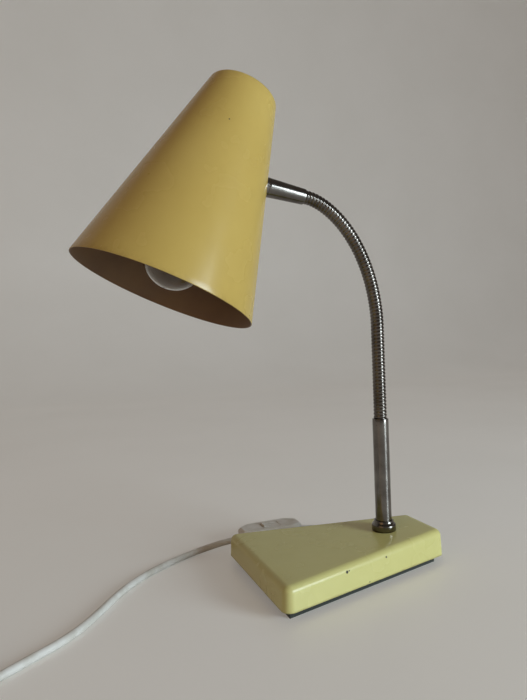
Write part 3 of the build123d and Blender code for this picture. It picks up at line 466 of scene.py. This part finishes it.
def floor_sweep():
    """A profile of floor, quarter arc and wall, carried along X to both sides."""
    bend = arc((SWEEP_START, SWEEP_R), SWEEP_R, -90, 0, SWEEP_STEPS)
    profile = np.concatenate(([(FLOOR_FRONT, 0.0)], bend, [(SWEEP_START + SWEEP_R, WALL_TOP)]))
    across = np.array((-FLOOR_HALF, FLOOR_HALF))
    points = np.stack(np.broadcast_arrays(across[None, :], profile[:, :1], profile[:, 1:]), -1)
    low = 2 * np.arange(len(profile) - 1)
    faces = np.stack((low, low + 1, low + 3, low + 2), -1)
    mesh = bpy.data.meshes.new("floor")
    mesh.from_pydata(points.reshape(-1, 3), [], faces.tolist())
    mesh.polygons.foreach_set("use_smooth", np.ones(len(faces), bool))
    material, tree, shader, place = finish("pale_painted_board")
    tone = add(tree, "TexNoise", {"Vector": place, "Scale": per_mm(300), "Detail": 3.0})
    light, dark = linear("#E2DFDA"), linear("#DAD7D1")
    colour = add(tree, "Mix", {SHARE: tone, FIRST: light, SECOND: dark}, **COLOURS)
    # the glow is there for three kinds of ray only
    seen = 0.0
    for ray in ("Is Camera Ray", "Is Glossy Ray", "Is Transmission Ray"):
        kind = add(tree, "LightPath", out=ray)
        seen = add(tree, "Math", {A: kind, B: seen}, operation="MAXIMUM")
    glow = add(tree, "Math", {A: seen, B: FLOOR_GLOW}, operation="MULTIPLY")
    feed(tree, shader, {"Base Color": colour, "Roughness": 0.4, "IOR": 1.4})
    feed(tree, shader, {"Emission Color": colour, "Emission Strength": glow})
    mesh.materials.append(material)
    floor = bpy.data.objects.new("floor", mesh)
    bpy.context.scene.collection.objects.link(floor)


floor_sweep()
print("floor of painted board")

# %% Lights
LAMP_MIDDLE = (-0.08, 0.0, 0.18)  # metres


def soft_light(name, place, size, watts, colour):
    """A rectangular area light at a place in metres, turned to the lamp's middle."""
    data = bpy.data.lights.new(name, "AREA")
    data.shape = "RECTANGLE"
    data.size, data.size_y = size
    data.energy = watts
    data.color = linear(colour)[:3]
    light = bpy.data.objects.new(name, data)
    bpy.context.scene.collection.objects.link(light)
    away = Vector(place) - Vector(LAMP_MIDDLE)
    facing = away.to_track_quat("Z", "Y").to_matrix().to_4x4()
    light.matrix_world = Matrix.Translation(place) @ facing


soft_light("window_light", (0.85, -1.25, 0.36), (0.6, 0.8), 22, "#E6F6FF")
soft_light("left_fill", (-1.7, -0.9, 1.0), (1.4, 1.4), 4.0, "#FFC78C")
world = bpy.data.worlds.new("studio")
world.use_nodes = True
sky = {"Color": linear("#DCCFC2"), "Strength": 0.2}
feed(world.node_tree, world.node_tree.nodes["Background"], sky)
bpy.context.scene.world = world
bpy.context.scene.view_settings.view_transform = "Standard"
print("window light, left fill and a dim warm world")

# %% [markdown]
# ## Shade
# The shade is a spun cone of thin sheet, closed at its narrow end. It could be a cone primitive with a
# Solidify modifier, but one profile that runs down the inside, round the rim and up the outside gives
# the true wall, the rounded edge of the rim and a place to change from inner to outer paint.

# %% Frames of the head
NECK_LEAN = 80.0  # degrees from upright, where the neck meets the shade
NECK_STUB, FERRULE, RING = 5.2, 29.9, 2.2
SHADE_RIM_R, SHADE_TOP_R, SHADE_LENGTH, SHADE_WALL, SHADE_EDGE_R = 64.3, 24.8, 154.6, 0.8, 4.0
ENTRY_HEIGHT = 100.3  # up the shade's axis, where the neck comes in

lean = np.radians(NECK_LEAN)
inward = np.array((-np.sin(lean), 0, np.cos(lean)))
upward = np.array((np.cos(lean), 0, np.sin(lean)))
sideways = np.array((0.0, 1.0, 0.0))
last_hinge = np.array(joints["neck_bend_8"]["pos_m"]) / MM
ferrule_start = last_hinge + inward * NECK_STUB
entry = ferrule_start + inward * (FERRULE + RING)
cone = np.arctan2(SHADE_RIM_R - SHADE_TOP_R, SHADE_LENGTH)
shade_axis = upward * np.cos(cone) - inward * np.sin(cone)
shade_side = -inward * np.cos(cone) - upward * np.sin(cone)
entry_r = SHADE_RIM_R - (SHADE_RIM_R - SHADE_TOP_R) * ENTRY_HEIGHT / SHADE_LENGTH
rim_centre = entry - shade_side * entry_r - shade_axis * ENTRY_HEIGHT
shade_axes = (rim_centre, shade_side, sideways, shade_axis)
head_axes = (ferrule_start, upward, sideways, inward)
print("shade rim centre", rim_centre.round(2), "axis", shade_axis.round(4))

# %% Shade surface
SHADE_COLUMNS, SIDE_STEPS, CROWN_STEPS, TOP_EDGE_STEPS = 160, 40, 8, 9
RIM_OUT_STEPS, RIM_IN_STEPS = 5, 4
RIM_LOWEST, RIM_IN_START = -90, -110  # degrees round the rim's edge, where each side of it starts
RIM_WEAR_MM, CROWN_WEAR_MM, CROWN_WEAR, CROWN_WEAR_BELOW = 2.0, 2.5, 0.6, 1.5


def wall_profile(edge_r, rim):
    """From the rim up the cone, round the top edge about a fixed centre, and in to the axis."""
    half = np.degrees(cone)
    reach = SHADE_EDGE_R * np.tan(np.radians(45 - half / 2))
    top = arc((SHADE_TOP_R - reach, SHADE_LENGTH - SHADE_EDGE_R), edge_r, half, 90, TOP_EDGE_STEPS)
    side = np.linspace(rim[-1], top[0], SIDE_STEPS)[1:-1]
    crown = np.linspace(top[-1], (0, top[-1, 1]), CROWN_STEPS)[1:]
    return np.concatenate((rim, side, top, crown))


def shade_piece():
    """Inner and outer wall as one profile round the axis; wear fades away from the rim and the crown."""
    half, rim_r = np.degrees(cone), SHADE_WALL / 2
    middle = (SHADE_RIM_R - rim_r, rim_r)
    outside = wall_profile(SHADE_EDGE_R, arc(middle, rim_r, RIM_LOWEST, half, RIM_OUT_STEPS))
    inner_rim = arc(middle, rim_r, RIM_IN_START, half - 180, RIM_IN_STEPS)
    inside = wall_profile(SHADE_EDGE_R - SHADE_WALL, inner_rim)
    profile = np.concatenate((inside[::-1], outside))
    rings = profile[1:-1]
    within = np.arange(len(rings) - 1) < len(inside)
    slots = np.repeat(np.concatenate((within, (True, False))), SHADE_COLUMNS).astype(int)
    radius, height = rings.T
    below_crown = (height - SHADE_LENGTH + CROWN_WEAR_BELOW) / CROWN_WEAR_MM
    crown = (radius > SHADE_TOP_R / 2) * np.exp(-below_crown ** 2)
    wear = np.exp(-height / RIM_WEAR_MM) + CROWN_WEAR * crown
    wear = np.append(np.repeat(wear, SHADE_COLUMNS), (0, 0))
    whole = turned(profile, shade_axes, SHADE_COLUMNS)
    # the outer coat in the deeper, warmer tone: painted warm room light
    piece = mesh_piece("shade_spun", [(whole, slots)], [lacquer, inner_lacquer], wear)
    settle(piece, "head", "yellow_lacquer", "shade")


shade_piece()

# %% [markdown]
# ## Base housing
# The housing is a pressed box with the plan of a trapezoid, wide under the shade, with rounded corners, a
# slight draft, a rounded upper edge and a roof that falls a little towards the wide end. Its plan at any
# depth is the same trapezoid with smaller corners: the corner centres stay, and the radius shrinks. So
# the surface is a plan carried through a profile of inset and height, first inside and then outside, and
# sheared so that the roof falls while the lower edge stays level.

# %% Plan of the base
BASE_LENGTH, BASE_WIDE, BASE_NARROW, BASE_CORNER_R = 150.5, 116.4, 45.7, 6.2
BASE_LIFT, BASE_TOP, BASE_WALL, BASE_EDGE_R = 6.0, 25.0, 1.2, 5.0
BASE_DRAFT = 2.5  # degrees
BASE_FALL = 0.026  # how far the roof falls for each millimetre towards the wide end
POST_SETBACK = 39.2  # from the narrow end to the post


def corner_centres():
    """Centres of the plan's rounded corners and the angles at which their arcs start and end."""
    wide_x = POST_SETBACK - BASE_LENGTH
    slope = np.arctan2((BASE_WIDE - BASE_NARROW) / 2, BASE_LENGTH)
    corners = np.array([(POST_SETBACK, BASE_NARROW / 2), (wide_x, BASE_WIDE / 2)])
    normals = np.array([(0.0, np.pi / 2 - slope), (np.pi / 2 - slope, np.pi)])
    halves = (normals[:, 1] - normals[:, 0]) / 2
    middles = normals.mean(1)
    out = BASE_CORNER_R / np.cos(halves)
    centres = corners - out[:, None] * np.stack((np.cos(middles), np.sin(middles)), 1)
    both = np.concatenate((centres, centres[::-1] * (1, -1)))
    return both, np.concatenate((normals, 2 * np.pi - normals[::-1, ::-1]))


def plan(inset, steps=12, along=24):
    """The rounded trapezoid drawn in by each inset: arcs about fixed centres and straight sides."""
    centres, angles = corner_centres()
    sweep = angles[:, :1] + (angles[:, 1:] - angles[:, :1]) * np.linspace(0, 1, steps)
    radius = BASE_CORNER_R - np.asarray(inset)[:, None, None, None]
    arcs = centres[:, None] + radius * np.stack((np.cos(sweep), np.sin(sweep)), -1)
    starts, ends = arcs[:, :, -1:], np.roll(arcs[:, :, :1], -1, axis=1)
    sides = starts + (ends - starts) * np.linspace(0, 1, along + 2)[1:-1, None]
    return np.concatenate((arcs, sides), 2).reshape(len(arcs), -1, 2)


print("base corners turn about", corner_centres()[0].round(1).tolist())

# %% Base surface
FOOT_WEAR_MM = 1.0
HOUSING_SIDE_STEPS, HOUSING_EDGE_STEPS, ROOF_STEPS = 12, 11, 9


def housing_profile(inset, top, edge):
    """Inset and height from the lower edge up the drafted side, round the upper edge, to the flat top."""
    draft = np.radians(BASE_DRAFT)
    side = inset + (top - BASE_LIFT) * np.tan(draft)
    turn_in = edge * np.tan(np.pi / 4 - draft / 2)
    curve = arc((side + turn_in, top - edge), edge, 180 - BASE_DRAFT, 90, HOUSING_EDGE_STEPS)
    straight_side = np.linspace((inset, BASE_LIFT), curve[0], HOUSING_SIDE_STEPS)[:-1]
    return np.concatenate((straight_side, curve))


def roof_rings(edge_ring, middle):
    """The flat roof: its edge drawn towards the middle in equal steps."""
    share = np.linspace(1, 0, ROOF_STEPS)[1:-1, None, None]
    return middle + (edge_ring - middle) * share


def base_piece():
    """A plan at each inset and height of the profile, closed by the roof and sheared by its fall."""
    outside = housing_profile(0.0, BASE_TOP, BASE_EDGE_R)
    inside = housing_profile(BASE_WALL, BASE_TOP - BASE_WALL, BASE_EDGE_R - BASE_WALL)
    profile = np.concatenate((inside[::-1], outside))
    flat = plan(profile[:, 0])
    walls = np.concatenate((flat, np.broadcast_to(profile[:, None, 1:], (*flat.shape[:2], 1))), 2)
    tips = np.array([(POST_SETBACK - BASE_LENGTH / 2, 0, height) for height in profile[[0, -1], 1]])
    under, over = roof_rings(walls[0], tips[0])[::-1], roof_rings(walls[-1], tips[1])
    rings = np.concatenate((under, walls, over))
    points, quads, fans = skin(rings, tips)
    lower = np.exp(-((points[:, 2] - BASE_LIFT) / FOOT_WEAR_MM) ** 2)
    outer = np.repeat(np.arange(len(rings)) >= len(under) + len(inside), rings.shape[1])
    wear = lower * np.append(outer, (False, False))
    rise = (points[:, 2] - BASE_LIFT) / (BASE_TOP - BASE_LIFT)
    points[:, 2] += BASE_FALL * points[:, 0] * rise
    # the base takes the paler, greener tone: painted cool window light
    piece = mesh_piece("base_housing", [((points, quads, fans), 0)], [window_lit_lacquer], wear)
    settle(piece, "base", "yellow_lacquer", "base_shell")


base_piece()

# %% [markdown]
# ## Post, collar and ferrule
# These are turned and drawn parts: a tube, a stepped collar with a rounded shoulder, and a sleeve that
# widens towards the shade. Each is a profile carried round its axis, with small rounded edges, because
# it is the rounding that catches the light on metal.

# %% Turned metal
POST_R, POST_BORE_R, POST_TOP = 6.25, 5.0, 113.0
COLLAR_R, SHOULDER_R, COLLAR_RING, COLLAR_HEIGHT, COLLAR_ROUND = 9.3, 7.6, 5.6, 8.0, 1.5
COLLAR_PLAY = 0.1
COLLAR_BORE_R = POST_R + COLLAR_PLAY
COLLAR_SEAT = -BASE_FALL * COLLAR_R
FERRULE_NECK_R, FERRULE_SHADE_R = 5.8, 7.0
EDGE, EDGE_STEPS, ROUND_STEPS, SLEEVE_STEPS = 0.4, 5, 9, 24
post_axes = (np.zeros(3), np.array((1.0, 0, 0)), sideways, np.array((0, 0, 1.0)))


def sleeve(outer_low, outer_high, bore, low, high):
    """A sleeve's closed profile: bore, lower face, outside and upper face, with small rounded edges."""
    return np.concatenate((
        [(bore, low)],
        arc((outer_low - EDGE, low + EDGE), EDGE, -90, 0, EDGE_STEPS),
        np.linspace((outer_low, low + EDGE), (outer_high, high - EDGE), SLEEVE_STEPS)[1:-1],
        arc((outer_high - EDGE, high - EDGE), EDGE, 0, 90, EDGE_STEPS),
        [(bore, high)],
    ))


def collar_profile():
    """A low ring with a rounded shoulder and a narrower neck above it; its foot follows the roof."""
    return np.concatenate((
        [(COLLAR_BORE_R, COLLAR_SEAT), (COLLAR_R, COLLAR_SEAT)],
        arc((COLLAR_R - COLLAR_ROUND, COLLAR_RING - COLLAR_ROUND), COLLAR_ROUND, 0, 90, ROUND_STEPS),
        [(SHOULDER_R, COLLAR_RING)],
        arc((SHOULDER_R - EDGE, COLLAR_HEIGHT - EDGE), EDGE, 0, 90, EDGE_STEPS),
        [(COLLAR_BORE_R, COLLAR_HEIGHT)],
    )) + (0, BASE_TOP)


# the ferrule has the same bore as the post
ferrule_profile = sleeve(FERRULE_NECK_R, FERRULE_SHADE_R, POST_BORE_R, 0, FERRULE)
turned_metal = {
    "post_tube": (sleeve(POST_R, POST_R, POST_BORE_R, BASE_TOP, POST_TOP), post_axes, "base"),
    "post_collar": (collar_profile(), post_axes, "base"),
    "head_ferrule": (ferrule_profile, head_axes, "head"),
}
for node, (profile, axes, body) in turned_metal.items():
    metal_piece = mesh_piece(f"{node}_turned", [(turned(profile, axes), 0)], [nickel])
    settle(metal_piece, body, "nickel_plate", node)

# %% [markdown]
# ## Neck
# A gooseneck is a steel spring with a shaped wire wound into its groove, so its outside is one long
# helical rib. In CAD it is a chain of straight lengths on hinges. Here the hose is smooth: between the
# middles of two neighbouring lengths the centre line is a parabola that leaves one along its axis and
# meets the other along its own. The rib is a wave of the radius whose phase runs on from piece to piece.
# Each piece bends between the two lengths that it joins, and carries its stretch of the two wires inside.

# %% Centre line of the neck
hinge_names = [f"neck_sway_{k}" for k in (1, 2, 3)] + [f"neck_bend_{k}" for k in range(1, 9)]
hinges = np.array([joints[name]["pos_m"] for name in hinge_names]) / MM
ends = np.concatenate(([(0, 0, POST_TOP)], hinges, [ferrule_start]))
middles = (ends[:-1] + ends[1:]) / 2
HOSE_IN_FERRULE = 1.0
BEND_STEPS, FOOT_STEPS, HEAD_STEPS = 121, 61, 31


def parabola(start, corner, end, steps):
    """The quadratic curve (1-t)^2 start + 2t(1-t) corner + t^2 end, and its direction at each point."""
    t = np.linspace(0, 1, steps)[:, None]
    points = (1 - t) ** 2 * start + 2 * t * (1 - t) * corner + t ** 2 * end
    ways = (1 - t) * (corner - start) + t * (end - corner)
    return points, ways / np.linalg.norm(ways, axis=1, keepdims=True)


def straight(start, end, steps):
    """A straight line is the same curve with its corner half way."""
    return parabola(start, (start + end) / 2, end, steps)


def joined(first, second):
    """Two stretches of a path as one; the point that they share is kept once."""
    return tuple(np.concatenate((a, b[1:])) for a, b in zip(first, second))


def hose_path(k):
    """Piece k runs from the middle of one length, round its hinge, to the middle of the next."""
    path = parabola(middles[k], hinges[k], middles[k + 1], BEND_STEPS)
    if k == 0:
        path = joined(straight(ends[0], middles[0], FOOT_STEPS), path)
    if k == len(hinges) - 1:
        last = ends[-1] + inward * HOSE_IN_FERRULE
        path = joined(path, straight(middles[-1], last, HEAD_STEPS))
    return path


neck_length = float(np.linalg.norm(np.diff(ends, axis=0), axis=1).sum())
print(len(hinges), "hinges, neck", round(neck_length, 1), "mm")

# %% Hose and wires
NECK_CREST_R, NECK_ROOT_R, NECK_BORE_R, RIB_PITCH = 5.1, 4.7, 3.4, 2.75
RIB_LEVEL, RIB_SWING, RIB_FLATNESS = 0.62, 0.75, 0.6  # of the wave: its middle, its height and its power
WIRE_R, WIRE_APART = 0.85, 1.2
HOSE_COLUMNS, WIRE_COLUMNS = 48, 10
BORE_STRIDE, WIRE_STRIDE = 10, 6  # the smooth bore and the wires need fewer rings than the rib


def tube_rings(path, ways, radius, reference, columns):
    """Circles square to a path: cos and sin along two directions square to its way and to each other."""
    across = np.cross(reference, ways)
    across /= np.linalg.norm(across, axis=1, keepdims=True)
    beside = np.cross(ways, across)
    angle = np.linspace(0, 2 * np.pi, columns, endpoint=False)[:, None]
    circle = np.cos(angle) * across[:, None] + np.sin(angle) * beside[:, None]
    return path[:, None] + radius * circle


def wire_part(path, ways, offset, reference=sideways):
    """One insulated wire beside a path: a thin tube with closed ends."""
    line = path + offset
    return skin(tube_rings(line, ways, WIRE_R, reference, WIRE_COLUMNS), line[[0, -1]]), 1


def rib_radius(along, angle):
    """Root plus a flat-topped wave of the distance along the neck, one pitch further on each turn."""
    wave = np.cos(2 * np.pi * along / RIB_PITCH - angle)
    share = np.clip(RIB_LEVEL + RIB_SWING * wave, 0, 1) ** RIB_FLATNESS
    return NECK_ROOT_R + (NECK_CREST_R - NECK_ROOT_R) * share


def hose_part(path, ways, start):
    """The rib's outside and the bore as one closed skin, and the distance along the neck at its end."""
    along = start + np.append(0, np.cumsum(np.linalg.norm(np.diff(path, axis=0), axis=1)))
    angle = np.linspace(0, 2 * np.pi, HOSE_COLUMNS, endpoint=False)
    radius = rib_radius(along[:, None], angle)[..., None]
    outer = tube_rings(path, ways, radius, sideways, HOSE_COLUMNS)
    inner = tube_rings(path[::BORE_STRIDE], ways[::BORE_STRIDE], NECK_BORE_R, sideways, HOSE_COLUMNS)
    return (skin(np.concatenate((outer, inner[::-1]))), 0), along[-1]


def neck_pieces():
    """A hose with two wires in it for each hinge, the rib running on where the last piece stopped."""
    start = 0.0
    for k in range(len(hinges)):
        path, ways = hose_path(k)
        hose, start = hose_part(path, ways, start)
        line = path[::WIRE_STRIDE], ways[::WIRE_STRIDE]
        wires = [wire_part(*line, sideways * WIRE_APART * side) for side in (-1, 1)]
        piece = mesh_piece(f"neck_hose_{k + 1:02d}", [hose, *wires], [hose_nickel, brown_wire])
        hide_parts(f"neck_{k + 1:02d}")
        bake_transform(piece)
    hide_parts("neck_12")


neck_pieces()

# %% [markdown]
# ## Wires
# Inside the base the cord's sheath ends, and its two insulated wires turn up into the post, changing
# sides as they go. Inside the shade they come out of the nipple, arch over and go down into the lamp
# holder. Both stretches are thin tubes along smooth curves: a parabola and a line, and a cubic curve.

# %% Wires in the base and in the shade
SHEATH_END = np.array((3.82, 16.26, 13.74))
WIRE_FOOT, WIRE_UPRIGHT = np.array((0, 0, 9.5)), np.array((0, 0, 32.0))
TURN_START, TURN_END = -13.2, -90.0  # degrees: where a wire lies beside the path, below and above
NIPPLE_END, HOLDER_STUB = np.array((30.3, 98.1)), np.array((0, 87.2))
ARCH_OUT, ARCH_OVER = np.array((9.1, 92.6)), np.array((0, 122.1))
WIRE_TURN_STEPS, WIRE_POST_STEPS, WIRE_ARCH_STEPS = 25, 30, 40


def post_wires():
    """A parabola up into the post and a line, with the wires on both sides, turned evenly on the way."""
    bend = parabola(SHEATH_END, WIRE_FOOT, WIRE_UPRIGHT, WIRE_TURN_STEPS)
    path, ways = joined(bend, straight(WIRE_UPRIGHT, ends[0], WIRE_POST_STEPS))
    a = np.radians(np.linspace(TURN_START, TURN_END, len(path)))
    beside = WIRE_APART * np.stack((np.cos(a), np.sin(a), 0 * a), 1)
    along_x = np.array((1.0, 0, 0))
    parts = [wire_part(path, ways, beside * side, along_x) for side in (-1, 1)]
    piece = mesh_piece("post_wires", parts, [brown_wire, brown_wire])
    settle(piece, "base", "wire_insulation", "neck_leads")


def lamp_wires():
    """The cubic curve (1-t)^3 a + 3t(1-t)^2 b + 3t^2(1-t) c + t^3 d, in the shade's radius and height."""
    t = np.linspace(0, 1, WIRE_ARCH_STEPS)[:, None]
    curve = (1 - t) ** 3 * NIPPLE_END + 3 * t * (1 - t) ** 2 * ARCH_OUT
    curve += 3 * t ** 2 * (1 - t) * ARCH_OVER + t ** 3 * HOLDER_STUB
    path = rim_centre + curve[:, :1] * shade_side + curve[:, 1:] * shade_axis
    ways = np.gradient(path, axis=0)
    ways /= np.linalg.norm(ways, axis=1, keepdims=True)
    parts = [wire_part(path, ways, sideways * WIRE_APART * side) for side in (-1, 1)]
    piece = mesh_piece("lamp_wires", parts, [brown_wire, brown_wire])
    settle(piece, "head", "wire_insulation", "socket_leads")


post_wires()
lamp_wires()

# %% [markdown]
# ## Cord
# The white mains cord leaves the rear of the base through a rubber sleeve, turns round behind the base to
# the in-line switch, and runs on across the table and out of the picture, where its spare length is put
# away as a coil. A cord is a NURBS curve guided by listed control points: it can't kink, and it lies
# where the CAD cord lies. The coil's turns come from the same spiral as in the CAD model.

# %% Cord routes
CORD_R, LAY_GAP, CORD_GAP, TIE = 2.5, 0.1, 0.25, 0.6  # radius, gaps to table and tie, the tie's thickness
CORD_Z = CORD_R + LAY_GAP
SWITCH_Y, SWITCH_CORD_Z = 78.0, 8.0
lead_route = [
    tuple(SHEATH_END),
    (13.77, 58.61, 11.46),
    (-4.0, SWITCH_Y, 2.2),
    (-31.0, SWITCH_Y, SWITCH_CORD_Z),
    (-45.0, SWITCH_Y, SWITCH_CORD_Z),
]
run_route = [
    (-87.0, SWITCH_Y, SWITCH_CORD_Z),
    (-104.0, SWITCH_Y, SWITCH_CORD_Z),
    (-121.0, 80.5, 4.6),
    (-138.0, 78.0, CORD_Z),
    (-156.0, 68.5, CORD_Z),
    (-174.0, 57.0, CORD_Z),
    (-190.0, 43.0, CORD_Z),
    (-203.5, 27.0, CORD_Z),
    (-215.0, 10.0, CORD_Z),
    (-227.5, -7.5, CORD_Z),
    (-241.5, -21.5, CORD_Z),
    (-257.0, -32.0, CORD_Z),
    (-273.0, -43.5, CORD_Z),
]
print("cord routes of", len(lead_route), "and", len(run_route), "points")

# %% Coil
COIL_TURNS, COIL_OUTER_R, COIL_PITCH, COIL_START = 7.0, 39.4, 5.5, -52.0
COIL_CENTRE = (-331.5, -38.5)
COIL_LOW = CORD_R + TIE + LAY_GAP + CORD_GAP
COIL_LEAD_IN, COIL_TAIL = 18.0, 18.0
COIL_RISE = 0.5  # turns over which the upper layer is reached
POINTS_PER_TURN = 16


def coil_points(turn):
    """Spiral in for half the turns and out again above, rising over the half turn in the middle."""
    half = COIL_TURNS / 2
    rising = np.clip((turn - half + COIL_RISE / 2) / COIL_RISE, 0, 1)
    radius = COIL_OUTER_R - COIL_PITCH * (half - np.abs(turn - half))
    angle = np.radians(COIL_START - 360 * turn)
    height = COIL_LOW + COIL_PITCH * (1 - np.cos(np.pi * rising)) / 2
    x = COIL_CENTRE[0] + radius * np.cos(angle)
    y = COIL_CENTRE[1] + radius * np.sin(angle)
    return np.stack((x, y, height), -1)


def coil_way(turn):
    """The spiral's direction: from a hundredth of a turn before to one after, made of length one."""
    step = coil_points(np.array((turn - 0.01, turn + 0.01)))
    return (step[1] - step[0]) / np.linalg.norm(step[1] - step[0])


spiral = coil_points(np.linspace(0, COIL_TURNS, round(POINTS_PER_TURN * COIL_TURNS) + 1))
lead_in = spiral[0] - coil_way(0) * COIL_LEAD_IN
tail = spiral[-1] + coil_way(COIL_TURNS) * np.array((0.5, 1.0))[:, None] * COIL_TAIL
whole_run = [*run_route, lead_in, *spiral, *tail]
print("coil of", len(spiral), "control points")

# %% Cords as curves


def cord_piece(name, route, *nodes):
    """A round NURBS curve of order three with the route's points as its control points."""
    curve = bpy.data.curves.new(name, "CURVE")
    curve.dimensions = "3D"
    curve.bevel_depth = CORD_R * MM
    curve.bevel_resolution = 6
    curve.use_fill_caps = True
    spline = curve.splines.new("NURBS")
    spline.points.add(len(route) - 1)
    weighted = np.concatenate((np.asarray(route) * MM, np.ones((len(route), 1))), 1)
    spline.points.foreach_set("co", weighted.ravel())
    spline.order_u = 3
    spline.use_endpoint_u = True
    spline.resolution_u = 8
    curve.materials.append(pvc)
    piece = bpy.data.objects.new(name, curve)
    bpy.context.scene.collection.objects.link(piece)
    settle(piece, "base", "white_pvc", *nodes)
    print(name, len(route), "control points")
    return piece


lead_cord = cord_piece("cord_to_switch", lead_route, "cord_lead")
run_cord = cord_piece("cord_to_plug", whole_run, "cord_run", "cord_coil")

# %% [markdown]
# ## The rest of the CAD pieces
# Flat plates, nuts, washers, the switch, the plug and the lamp holder already have their true shape, so
# they stay. A CAD mesh is loose triangles with hard shading. A Weld modifier joins the triangles, smooth
# shading rounds the curved faces, and an Edge Split keeps every edge sharper than thirty degrees crisp.

# %% Finishes for the CAD nodes
CAD_PIECES = {
    zinc: "plate_screws cord_clamp clamp_screws post_nipple post_washer post_nut head_nipple head_washer "
          "head_nut socket_bracket socket_nut switch_screws",
    nickel: "head_ring",
    brass: "socket_sleeve socket_contact plug_pins",
    cap_metal: "bulb_cap bulb_tip",
    iron: "base_ballast",
    black_plinth: "base_plate",
    felt: "base_felt",
    phenolic: "socket_body",
    glass: "bulb_glass bulb_filament",
    white_rubber: "cord_relief plug_relief",
    white_moulding: "coil_tie plug_body switch_base switch_cover switch_rocker",
}
CRISP = np.radians(30)
WELD_MM = 0.002


def dress(node, material):
    """Gives a CAD node its finish and smooth shading with crisp edges."""
    thing = frame["nodes"][node]
    thing.data.materials.clear()
    thing.data.materials.append(material)
    thing.data.polygons.foreach_set("use_smooth", np.ones(len(thing.data.polygons), bool))
    thing.modifiers.new("join_triangles", "WELD").merge_threshold = WELD_MM * MM
    thing.modifiers.new("crisp_edges", "EDGE_SPLIT").split_angle = CRISP


for material, nodes in CAD_PIECES.items():
    for node in nodes.split():
        dress(node, material)
    print("dressed in", material.name, "-", nodes)
